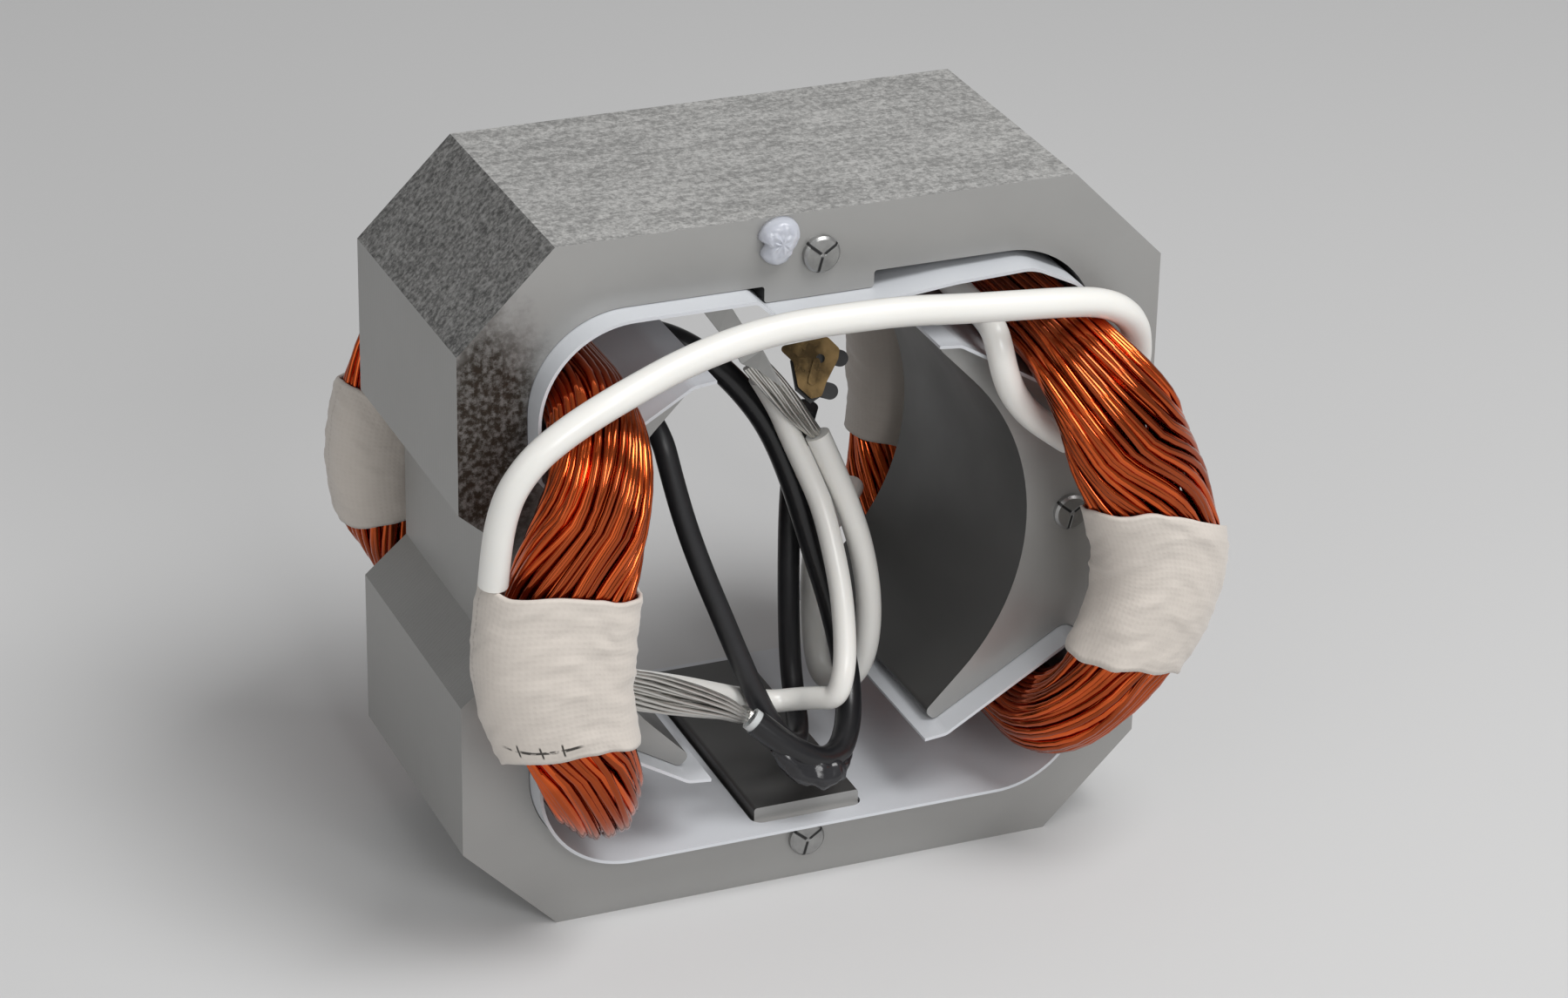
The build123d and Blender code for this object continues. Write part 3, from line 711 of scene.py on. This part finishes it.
def bundle_radius(share, turn, angle):
    """Radius of the bundle's rounded oval, which is turned in the slots, at an angle round it."""
    swell = sin(pi * share) ** 2
    a = slot_half_width + (turn.half_width - slot_half_width) * swell
    b = slot_half_height + (turn.half_thickness - slot_half_height) * swell
    own = radians(angle + slot_tilt * (1 - swell))
    across, up = abs(cos(own)) / a, abs(sin(own)) / b
    return (across ** bundle_power + up ** bundle_power) ** (-1 / bundle_power)


def bundle_point(side, end, share, turn, angle, grow):
    """Place on the bundle; the angle is 0 on its outer side and 90 away from the stack."""
    place, across, up = bundle_frame(side, end, share, turn)
    radius = bundle_radius(share, turn, angle) + grow
    if turn.spread and share < spread_end:
        facing = max(0.0, cos(radians(angle - spread_angle))) ** 2
        radius += turn.spread * facing * sin(pi * share / spread_end) ** spread_power
    return place + across * (radius * cos(radians(angle))) + up * (radius * sin(radians(angle)))


# Wires of a winding: steps of a path on an end turn and in a slot, sides of a wire, how far a
# wire rises out of its layer, and the seed of what is random
turn_steps = 36
leg_steps = 4
wire_sides = 8
wire_rise = 0.35 * mm
winding_seed = 7

# Layers: the setting that counts the wires, their depth in diameters, and the least and most lean
wire_layers = (
    ("outer_wires", 0.5, 0.96, 1.04),
    ("inner_wires", 1.4, 0.85, 1.15),
    ("core_wires", 2.4, 0.6, 1.3),
    ("loose_wires", 0.2, 0.75, 0.88),
)


def lay_share(share):
    """Share of its lean that a wire has: none in the slots, all of it under the tape."""
    return sin(pi * share) ** 2


def wire_path(side, front_turn, rear_turn, angle, depth, lean, wander, chance):
    """One closed turn of wire: front end turn, bottom slot, rear end turn, top slot."""
    phases = [chance.uniform(0, 2 * pi) for _ in range(4)]
    waves = [chance.choice((2, 3, 4)), chance.choice((5, 6, 7))]

    def stray(position):
        slow = sin(waves[0] * position + phases[0]) + 0.5 * sin(waves[1] * position + phases[1])
        rise = 0.5 + 0.5 * sin(waves[0] * position + phases[2]) * sin(3 * position + phases[3])
        return wander * slow, depth - wire_rise * rise

    steps = 2 * (turn_steps + leg_steps)
    path = []
    for end, turn, first in ((-1, front_turn, 0), (1, rear_turn, turn_steps + leg_steps)):
        for step in range(turn_steps + 1):
            share = step / turn_steps if end < 0 else 1 - step / turn_steps
            drift, sink = stray(2 * pi * (step + first) / steps)
            turned = angle + turn.twist * lean * lay_share(share) + drift
            path.append(bundle_point(side, end, share, turn, turned, sink))
        path += [None] * (leg_steps - 1)
    return fill_gaps(path)


def fill_gaps(path):
    """Puts evenly spaced places where a run of the closed path is still open."""
    filled = list(path)
    count = len(path)
    for i in range(count):
        if filled[i] is None:
            before = filled[i - 1]
            ahead = next(k for k in range(1, count) if path[(i + k) % count] is not None)
            filled[i] = before + (path[(i + ahead) % count] - before) / (ahead + 1)
    return filled


class STATOR_OT_windings(bpy.types.Operator):
    """Makes both windings, wire by wire"""

    bl_idname = "stator.windings"
    bl_label = "Windings"

    def execute(self, context):
        chosen = settings("stator_windings")
        material = enamel_material()
        sides = {
            "left": (-1, left_front_turn, left_rear_turn),
            "right": (1, right_front_turn, right_rear_turn),
        }
        for name, place in sides.items():
            chance = random.Random(winding_seed)
            paths = []
            for setting, layer_depth, low, high in wire_layers:
                count = getattr(chosen, setting)
                depth = -chosen.wire_diameter * layer_depth
                for i in range(count):
                    angle = 360 * (i + chance.uniform(-0.25, 0.25)) / count
                    lean = chance.uniform(low, high)
                    paths.append(wire_path(*place, angle, depth, lean, chosen.wander, chance))
            diameter = chosen.wire_diameter
            piece = make_wires(f"winding_{name}", paths, True, diameter, wire_sides, material)
            place_piece(piece, "copper", f"coil_{name}")
        return {"FINISHED"}


class TapeWrap(NamedTuple):
    """A wrap on one end turn. An edge is a share down the turn with its cosine and sine terms
    round the bundle, and the cloth stands out on the bundle's outer side at its two edges."""

    side: int
    end: int
    turn: EndTurn
    top_edge: tuple
    bottom_edge: tuple
    flat: tuple
    stand_out: tuple = (0.0, 0.0)


tape_wraps = {
    "left_front": TapeWrap(
        -1, -1, left_front_turn, (0.388, 0.010, -0.018), (0.725, -0.035, -0.035),
        (22 * mm, 52 * mm), (3.0 * mm, 1.9 * mm),
    ),
    "left_rear": TapeWrap(
        -1, 1, left_rear_turn, (0.40, 0.0, 0.010), (0.64, 0.0, 0.012), (16 * mm, 50 * mm),
    ),
    "right_front": TapeWrap(
        1, -1, right_front_turn, (0.430, 0.080, -0.040), (0.742, -0.024, -0.017),
        (20 * mm, 49 * mm),
    ),
    "right_rear": TapeWrap(
        1, 1, right_rear_turn, (0.36, 0.0, 0.010), (0.69, 0.0, 0.012), (22 * mm, 52 * mm),
    ),
}
tape_columns = 160
tape_rows = 44
tape_thickness = 0.4 * mm
ragged_edge = 0.010


def edge_share(edge, angle):
    return edge[0] + edge[1] * cos(radians(angle)) + edge[2] * sin(radians(angle))


def tape_point(wrap, u, v, chosen):
    """Place on the cloth; u goes once round the bundle and v from the top edge to the bottom one."""
    angle = 360 * u
    seed = Vector((wrap.side * 3.1 + wrap.end * 7.7, 4 * cos(2 * pi * u), 4 * sin(2 * pi * u)))
    top = edge_share(wrap.top_edge, angle) + noise.noise(seed * 0.5) * ragged_edge
    low_seed = seed * 0.45 + Vector((3, 0, 0))
    bottom = edge_share(wrap.bottom_edge, angle) + noise.noise(low_seed) * ragged_edge
    share = top + (bottom - top) * v
    slack = noise.fractal(Vector((seed.x, seed.y * 0.4, seed.z * 0.4 + 6 * v)), 0.9, 2.0, 3)
    fold = noise.noise(Vector((seed.x + 5, seed.y * 0.55, seed.z * 0.55 + 16 * v)))
    grow = chosen.stand_off + chosen.crease * (0.8 * slack + max(0.0, fold))
    point = bundle_point(wrap.side, wrap.end, share, wrap.turn, angle, grow)
    across = bundle_frame(wrap.side, wrap.end, share, wrap.turn)[1]
    reach = wrap.stand_out[0] + (wrap.stand_out[1] - wrap.stand_out[0]) * v
    return point + across * (reach * max(0.0, cos(radians(angle))))


class STATOR_OT_tape(bpy.types.Operator):
    """Wraps the four end turns in cotton tape"""

    bl_idname = "stator.tape"
    bl_label = "Tape"

    def execute(self, context):
        chosen = settings("stator_tape")
        cotton = cotton_material("cotton tape", False)
        stitched = cotton_material("stitched cotton tape", True)
        for name, wrap in tape_wraps.items():
            points = [
                tape_point(wrap, column / tape_columns, row / tape_rows, chosen)
                for row in range(tape_rows + 1)
                for column in range(tape_columns)
            ]
            outwards = wrap.side * wrap.end < 0
            quads = band_faces(tape_rows, tape_columns)
            faces = [corners if outwards else corners[::-1] for corners in quads]
            material = stitched if name == "left_front" else cotton
            piece = add_mesh(f"cloth_{name}", points, faces, material)
            uv = piece.data.uv_layers.new(name="tape")
            for loop in piece.data.loops:
                row, column = divmod(loop.vertex_index, tape_columns)
                uv.data[loop.index].uv = (column / tape_columns, row / tape_rows)
            wall = piece.modifiers.new("wall", "SOLIDIFY")
            wall.thickness = tape_thickness
            wall.offset = -1
            make_plain(piece)
            place_piece(piece, "tape", f"tape_{name}")
        return {"FINISHED"}


class Lead(NamedTuple):
    """One sleeve or lead; the slot names its finish."""

    node: str
    slot: str
    route: list
    length: float
    diameter: float
    far_end: str
    lay: str
    with_pieces: tuple = ()


leads = {
    "link_sleeve": Lead(
        "crossover_sleeve", "ivory_sleeve", crossover_route, 0.1118, 3.6 * mm, "object", "taut",
    ),
    "tucked_sleeve": Lead(
        "inner_sleeve", "ivory_sleeve", inner_sleeve_route, 0.0677, 3.4 * mm, "object", "taut",
    ),
    "thin_white_lead": Lead(
        "white_lead", "ivory_sleeve", white_lead_route, 0.0857, 2.9 * mm, "fitting", "loose",
        ("splice_strap",),
    ),
    "open_white_sleeve": Lead(
        "white_sleeve", "ivory_sleeve", white_sleeve_route, 0.0841, 3.2 * mm, "fitting", "loose",
        ("open_strand_wires",),
    ),
    "big_black_sleeve": Lead(
        "black_sleeve", "black_sleeve", black_sleeve_route, 0.1053, 3.3 * mm, "object", "loose",
        ("tinned_strand_wires", "sleeve_lining", "compound_lump"),
    ),
    "terminal_lead": Lead(
        "black_lead", "black_lead", black_lead_route, 0.1397, 2.8 * mm, "connector", "loose",
        ("brass_terminal", "terminal_backing"),
    ),
}


def make_lead(name, lead, material):
    """A smooth tube whose line is guided by the points of the route."""
    curve = bpy.data.curves.new(name, "CURVE")
    curve.dimensions = "3D"
    curve.resolution_u = 10
    curve.bevel_depth = lead.diameter / 2
    curve.bevel_resolution = 7
    curve.use_fill_caps = True
    spline = curve.splines.new("NURBS")
    spline.points.add(len(lead.route) - 1)
    for point, place in zip(spline.points, lead.route):
        point.co = (*place, 1)
    spline.order_u = 3
    spline.use_endpoint_u = True
    curve.materials.append(material)
    return place_piece(link_to_scene(name, curve), lead.slot, lead.node)


# Compound: place in mm, and half width and half thickness, at each station of the lump
compound_stations = [
    ((-5.6, -20.5, -24.9), 1.0, 1.0), ((-3.6, -21.0, -26.8), 1.8, 1.8),
    ((-1.0, -21.4, -28.4), 1.9, 1.9), ((1.8, -21.0, -29.3), 2.0, 2.0),
    ((4.4, -19.4, -29.2), 1.5, 1.5), ((6.2, -17.6, -28.4), 0.8, 0.8),
]
compound_steps = 34
compound_spokes = 28
compound_lumps = 0.42
lump_size = 1.7 * mm


def make_compound(material):
    """A lumpy skin of compound along the underside of the black sleeve."""
    steps, spokes = compound_steps, compound_spokes
    points = []
    for step in range(steps + 1):
        share = step / steps
        place, along, radius, _ = course_at(compound_stations, share)
        radius *= sin(pi * (0.04 + 0.92 * share)) ** 0.5
        across = along.cross(Vector((0, 0, 1))).normalized()
        up = across.cross(along)
        for spoke in range(spokes):
            angle = 2 * pi * spoke / spokes
            way = across * cos(angle) + up * sin(angle)
            lump = 1 + compound_lumps * noise.noise((place + way * radius) / lump_size)
            points.append(place + way * (radius * lump))
    faces = [tuple(range(spokes)), tuple(steps * spokes + spoke for spoke in reversed(range(spokes)))]
    faces += [(a, d, c, b) for a, b, c, d in band_faces(steps, spokes)]
    piece = add_mesh("compound_lump", points, faces, material)
    build = bmesh.new()
    build.from_mesh(piece.data)
    bmesh.ops.recalc_face_normals(build, faces=build.faces)
    build.to_mesh(piece.data)
    build.free()
    return piece


class STATOR_OT_leads(bpy.types.Operator):
    """Makes the sleeves, leads and compound, and finishes the clear lining"""

    bl_idname = "stator.leads"
    bl_label = "Leads"

    def execute(self, context):
        finishes = {
            "ivory_sleeve": ivory_material(),
            "black_sleeve": black_material("satin black sleeve", 0.28, 1.8),
            "black_lead": black_material("satin black lead", 0.42, 2.5),
        }
        compound = make_compound(black_material("glossy sealing compound", 0.2, 4.0))
        place_piece(compound, "compound", "sealing_compound")
        finish_nodes(lining_material(), "sleeve_lining")
        for name, lead in leads.items():
            piece = make_lead(name, lead, finishes[lead.slot])
        return {"FINISHED"}


# Bare strands: place in mm, and half width and half thickness of the bundle, at each station
tinned_stations = [
    ((-28.9, -30.0, -7.2), 2.4, 0.8),
    ((-25.9, -29.3, -8.6), 2.5, 0.9),
    ((-22.4, -27.8, -10.6), 2.4, 1.0),
    ((-17.6, -25.4, -13.5), 2.0, 1.1),
    ((-13.1, -22.8, -16.6), 1.5, 1.1),
    ((-10.0, -20.6, -19.3), 1.05, 1.0),
    ((-8.55, -18.39, -20.47), 0.95, 0.95),
    ((-7.85, -18.7, -21.11), 0.9, 0.9),
]
open_end_stations = [
    ((-3.5, -6.8, 21.0), 1.5, 0.55),
    ((-0.2, -6.4, 16.9), 1.6, 0.65),
    ((2.4, -5.5, 13.5), 1.5, 0.7),
    ((4.8, -4.3, 10.5), 1.15, 0.75),
    ((6.5, -3.4, 8.4), 0.9, 0.75),
]

# Bundles: the solid, its stations, the way it is wide, its number of strands and its twist
strand_bundles = {
    "tinned_strand_wires": ("tinned_strands", tinned_stations, (0, 0, 1), 24, 70),
    "open_strand_wires": ("open_end_strands", open_end_stations, (1, 0, 1), 18, 60),
}
strand_steps = 26
strand_sides = 7
strand_seed = 3
least_reach = 0.3
course_gap = 0.02

# Rings of strands: share of the strands, and distance from the bundle's middle
strand_rings = ((0.62, 1.0), (0.38, 0.5))


def station_at(stations, share):
    """Place and half sizes at a share of the run, smoothly between the stations."""
    reach = share * (len(stations) - 1)
    i = min(int(reach), len(stations) - 2)
    t = reach - i
    picked = [stations[max(0, min(len(stations) - 1, i + k))] for k in (-1, 0, 1, 2)]
    spots = [Vector(station[0]) * mm for station in picked]
    weights = (
        0.5 * (-t + 2 * t**2 - t**3), 0.5 * (2 - 5 * t**2 + 3 * t**3),
        0.5 * (t + 4 * t**2 - 3 * t**3), 0.5 * (-(t**2) + t**3),
    )
    place = sum((spot * weight for spot, weight in zip(spots, weights)), Vector())
    sizes = [picked[1][k] + (picked[2][k] - picked[1][k]) * t for k in (1, 2)]
    return place, sizes[0] * mm, sizes[1] * mm


def course_at(stations, share):
    """Place, direction and half sizes at a share of the run."""
    place, half_width, half_thickness = station_at(stations, share)
    ahead = station_at(stations, min(1, share + course_gap))[0]
    behind = station_at(stations, max(0, share - course_gap))[0]
    return place, (ahead - behind).normalized(), half_width, half_thickness


def strand_paths(stations, wide, count, twist, diameter, chance):
    """Paths of the strands of one bundle, on rings that turn by the twist along the run."""
    courses = [course_at(stations, step / strand_steps) for step in range(strand_steps + 1)]
    paths = []
    for share_of_strands, ring in strand_rings:
        strands = round(count * share_of_strands)
        for i in range(strands):
            start = 360 * (i + chance.uniform(-0.25, 0.25)) / strands
            path = []
            for step, (place, along, half_width, half_thickness) in enumerate(courses):
                across = (wide - along * wide.dot(along)).normalized()
                up = along.cross(across)
                angle = radians(start + twist * (step / strand_steps))
                width = max(half_width - diameter / 2, diameter * least_reach) * ring
                thickness = max(half_thickness - diameter / 2, diameter * least_reach) * ring
                path.append(place + across * (width * cos(angle)) + up * (thickness * sin(angle)))
            paths.append(path)
    return paths


class STATOR_OT_strands(bpy.types.Operator):
    """Makes the two bundles of bare tinned strands, and finishes the strap"""

    bl_idname = "stator.strands"
    bl_label = "Bare strands"

    def execute(self, context):
        diameter = settings("stator_leads").strand_diameter
        bright = tinned_material("bright tinned copper", (0.42, 0.41, 0.38), (0.80, 0.79, 0.76), 0.28)
        dull = tinned_material("dull tinned strap", (0.30, 0.30, 0.29), (0.48, 0.48, 0.47), 0.5)
        chance = random.Random(strand_seed)
        for name, (node, stations, wide, count, twist) in strand_bundles.items():
            paths = strand_paths(stations, Vector(wide), count, twist, diameter, chance)
            piece = make_wires(name, paths, False, diameter, strand_sides, bright)
            place_piece(piece, "tinned", node)
        finish_nodes(dull, "splice_strap")
        return {"FINISHED"}


# Dab: its size, the nick in its left side, and its rings and spokes of points
dab_reach = 2.85 * mm
dab_height = 2.1 * mm
nick_depth = 0.32
nick_angle = 192
nick_width = 26
dab_rings = 14
dab_spokes = 48


def bump_at(angle, centre, width):
    """1 at the centre angle, falling smoothly to 0 at the width."""
    away = min(abs(angle - centre), 2 * pi - abs(angle - centre))
    return 0.5 + 0.5 * cos(pi * away / width) if away < width else 0.0


def make_dab(material):
    """A squeezed blob on the front face, with a nick in its left side."""
    low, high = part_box("silicone_dab")
    middle = (low + high) / 2
    rings, spokes = dab_rings, dab_spokes
    points = [Vector((middle.x, -half_length - dab_height, middle.z))]
    for ring in range(1, rings + 1):
        climb = pi / 2 * ring / rings
        for spoke in range(spokes):
            angle = 2 * pi * spoke / spokes
            nick = nick_depth * bump_at(angle, radians(nick_angle), radians(nick_width))
            reach = dab_reach * (0.94 + 0.10 * cos(2 * angle - 2.3) + 0.05 * sin(3 * angle) - nick)
            lump = 1 + 0.16 * noise.noise(Vector((3 * cos(angle), 3 * sin(angle), 4 * climb)))
            out = reach * sin(climb) ** 0.8
            rise = dab_height * cos(climb) ** 0.7 * lump
            x, z = middle.x + out * cos(angle), middle.z + out * sin(angle)
            points.append(Vector((x, -half_length - rise, z)))
    faces = [(0, 1 + (spoke + 1) % spokes, 1 + spoke) for spoke in range(spokes)]
    faces += band_faces(rings - 1, spokes, 1)
    faces.append(tuple(1 + (rings - 1) * spokes + spoke for spoke in range(spokes)))
    return add_mesh("squeezed_dab", points, faces, material)


class STATOR_OT_stack(bpy.types.Operator):
    """Finishes the stack and its rivets, and makes the dab"""

    bl_idname = "stator.stack"
    bl_label = "Stack"

    def execute(self, context):
        finish_nodes(steel_material(), "lamination_stack")
        for name in ("rivet_top", "rivet_bottom", "rivet_left", "rivet_right"):
            finish_nodes(rivet_material(name), name)
        place_piece(make_dab(dab_material()), "silicone", "silicone_dab")
        return {"FINISHED"}


class STATOR_OT_liners(bpy.types.Operator):
    """Finishes the slot liners"""

    bl_idname = "stator.liners"
    bl_label = "Slot liners"

    def execute(self, context):
        finish_nodes(liner_material(), "window_liner_top", "window_liner_bottom")
        return {"FINISHED"}


class STATOR_OT_terminal(bpy.types.Operator):
    """Finishes the push-on terminal and the piece behind it"""

    bl_idname = "stator.terminal"
    bl_label = "Terminal"

    def execute(self, context):
        finish_nodes(bronze_material(), "brass_terminal")
        finish_nodes(black_material("moulded black", 0.35, 2.0), "terminal_backing")
        return {"FINISHED"}


# Camera: turned, raised and rolled as fitted to the photograph, in degrees; the lens is in mm
camera_turn = 23.02
camera_rise = 26.23
camera_roll = 1.27
camera_distance = 562.0 * mm
camera_lens = 103.7
camera_sensor = 36.0
camera_near = 10 * mm
aim_right = 3.65 * mm
aim_up = -1.1 * mm


class STATOR_OT_camera(bpy.types.Operator):
    """Makes the camera at the viewing angle of the photograph"""

    bl_idname = "stator.camera"
    bl_label = "Camera"

    def execute(self, context):
        turn, rise, roll = radians(camera_turn), radians(camera_rise), radians(camera_roll)
        back = Vector((-sin(turn) * cos(rise), -cos(turn) * cos(rise), sin(rise)))
        level = (-back).cross(Vector((0, 0, 1))).normalized()
        upright = level.cross(-back)
        right = level * cos(roll) + upright * sin(roll)
        up = upright * cos(roll) - level * sin(roll)
        spot = right * aim_right + up * aim_up + back * camera_distance
        lens = bpy.data.cameras.new("camera")
        lens.lens = camera_lens
        lens.sensor_width = camera_sensor
        lens.clip_start = camera_near
        camera = link_to_scene("camera", lens)
        camera.matrix_world = Matrix((
            (right.x, up.x, back.x, spot.x),
            (right.y, up.y, back.y, spot.y),
            (right.z, up.z, back.z, spot.z),
            (0, 0, 0, 1),
        ))
        context.scene.camera = camera
        return {"FINISHED"}


# Stage: the floor's reach and shade, the world's light, and each lamp's place, size and power
floor_reach = 3.0
floor_shade = 0.62
world_light = 0.30
lamps = {
    "key": ((0.25, -0.35, 0.75), 0.4, 5.0),
    "fill": ((-0.7, -0.5, 0.35), 0.6, 0.85),
    "front": ((0.0, -0.8, 0.42), 0.32, 2.4),
}


def floor_material():
    material, tree, shader = new_material("pale floor")
    shade = (floor_shade, floor_shade, floor_shade, 1)
    dress(tree, shader, {"Base Color": shade, "Roughness": 0.9})
    return material


def add_lamp(name, place, size, power):
    """A square lamp that points at the middle of the bore."""
    lamp = bpy.data.lights.new(name, "AREA")
    lamp.energy = power
    lamp.size = size
    holder = link_to_scene(name, lamp)
    holder.location = place
    holder.rotation_euler = (Vector() - Vector(place)).to_track_quat("-Z", "Y").to_euler()


class STATOR_OT_stage(bpy.types.Operator):
    """Makes the plain floor and the soft studio light"""

    bl_idname = "stator.stage"
    bl_label = "Stage"

    def execute(self, context):
        corners = [
            (x * floor_reach, y * floor_reach, stack_low.z)
            for x, y in ((-1, -1), (1, -1), (1, 1), (-1, 1))
        ]
        add_mesh("floor", corners, [(0, 1, 2, 3)], floor_material(), smooth=False)
        world = bpy.data.worlds.new("studio")
        context.scene.world = world
        world.use_nodes = True
        background = world.node_tree.nodes["Background"]
        background.inputs[0].default_value = (1, 1, 1, 1)
        background.inputs[1].default_value = world_light
        for name, lamp in lamps.items():
            add_lamp(name, *lamp)
        context.scene.view_settings.view_transform = "Standard"
        return {"FINISHED"}


class STATOR_PT_panel(bpy.types.Panel):
    """Sizes and colours of the stator, and a button for each group of pieces"""

    bl_label = "Wound stator"
    bl_idname = "STATOR_PT_panel"
    bl_space_type = "VIEW_3D"
    bl_region_type = "UI"
    bl_category = "Stator"

    def draw(self, context):
        for name, group in setting_groups.items():
            box = self.layout.box()
            box.label(text=group.__doc__)
            for field in group.__annotations__:
                box.prop(getattr(context.scene, name), field)
        for operator in operators:
            self.layout.operator(operator.bl_idname)


setting_groups = {
    "stator_stack": StackSettings,
    "stator_windings": WindingSettings,
    "stator_tape": TapeSettings,
    "stator_leads": LeadSettings,
    "stator_small": SmallPartSettings,
}
operators = (
    STATOR_OT_camera,
    STATOR_OT_strands,
    STATOR_OT_leads,
    STATOR_OT_stack,
    STATOR_OT_windings,
    STATOR_OT_tape,
    STATOR_OT_liners,
    STATOR_OT_terminal,
    STATOR_OT_stage,
)


def register():
    for name, group in setting_groups.items():
        bpy.utils.register_class(group)
        setattr(bpy.types.Scene, name, PointerProperty(type=group))
    for operator in operators:
        bpy.utils.register_class(operator)
    bpy.utils.register_class(STATOR_PT_panel)


def unregister():
    bpy.utils.unregister_class(STATOR_PT_panel)
    for operator in reversed(operators):
        bpy.utils.unregister_class(operator)
    for name, group in setting_groups.items():
        delattr(bpy.types.Scene, name)
        bpy.utils.unregister_class(group)


def main():
    register()
    for operator in operators:
        family, action = operator.bl_idname.split(".")
        getattr(getattr(bpy.ops, family), action)()


if __name__ == "__main__":
    main()
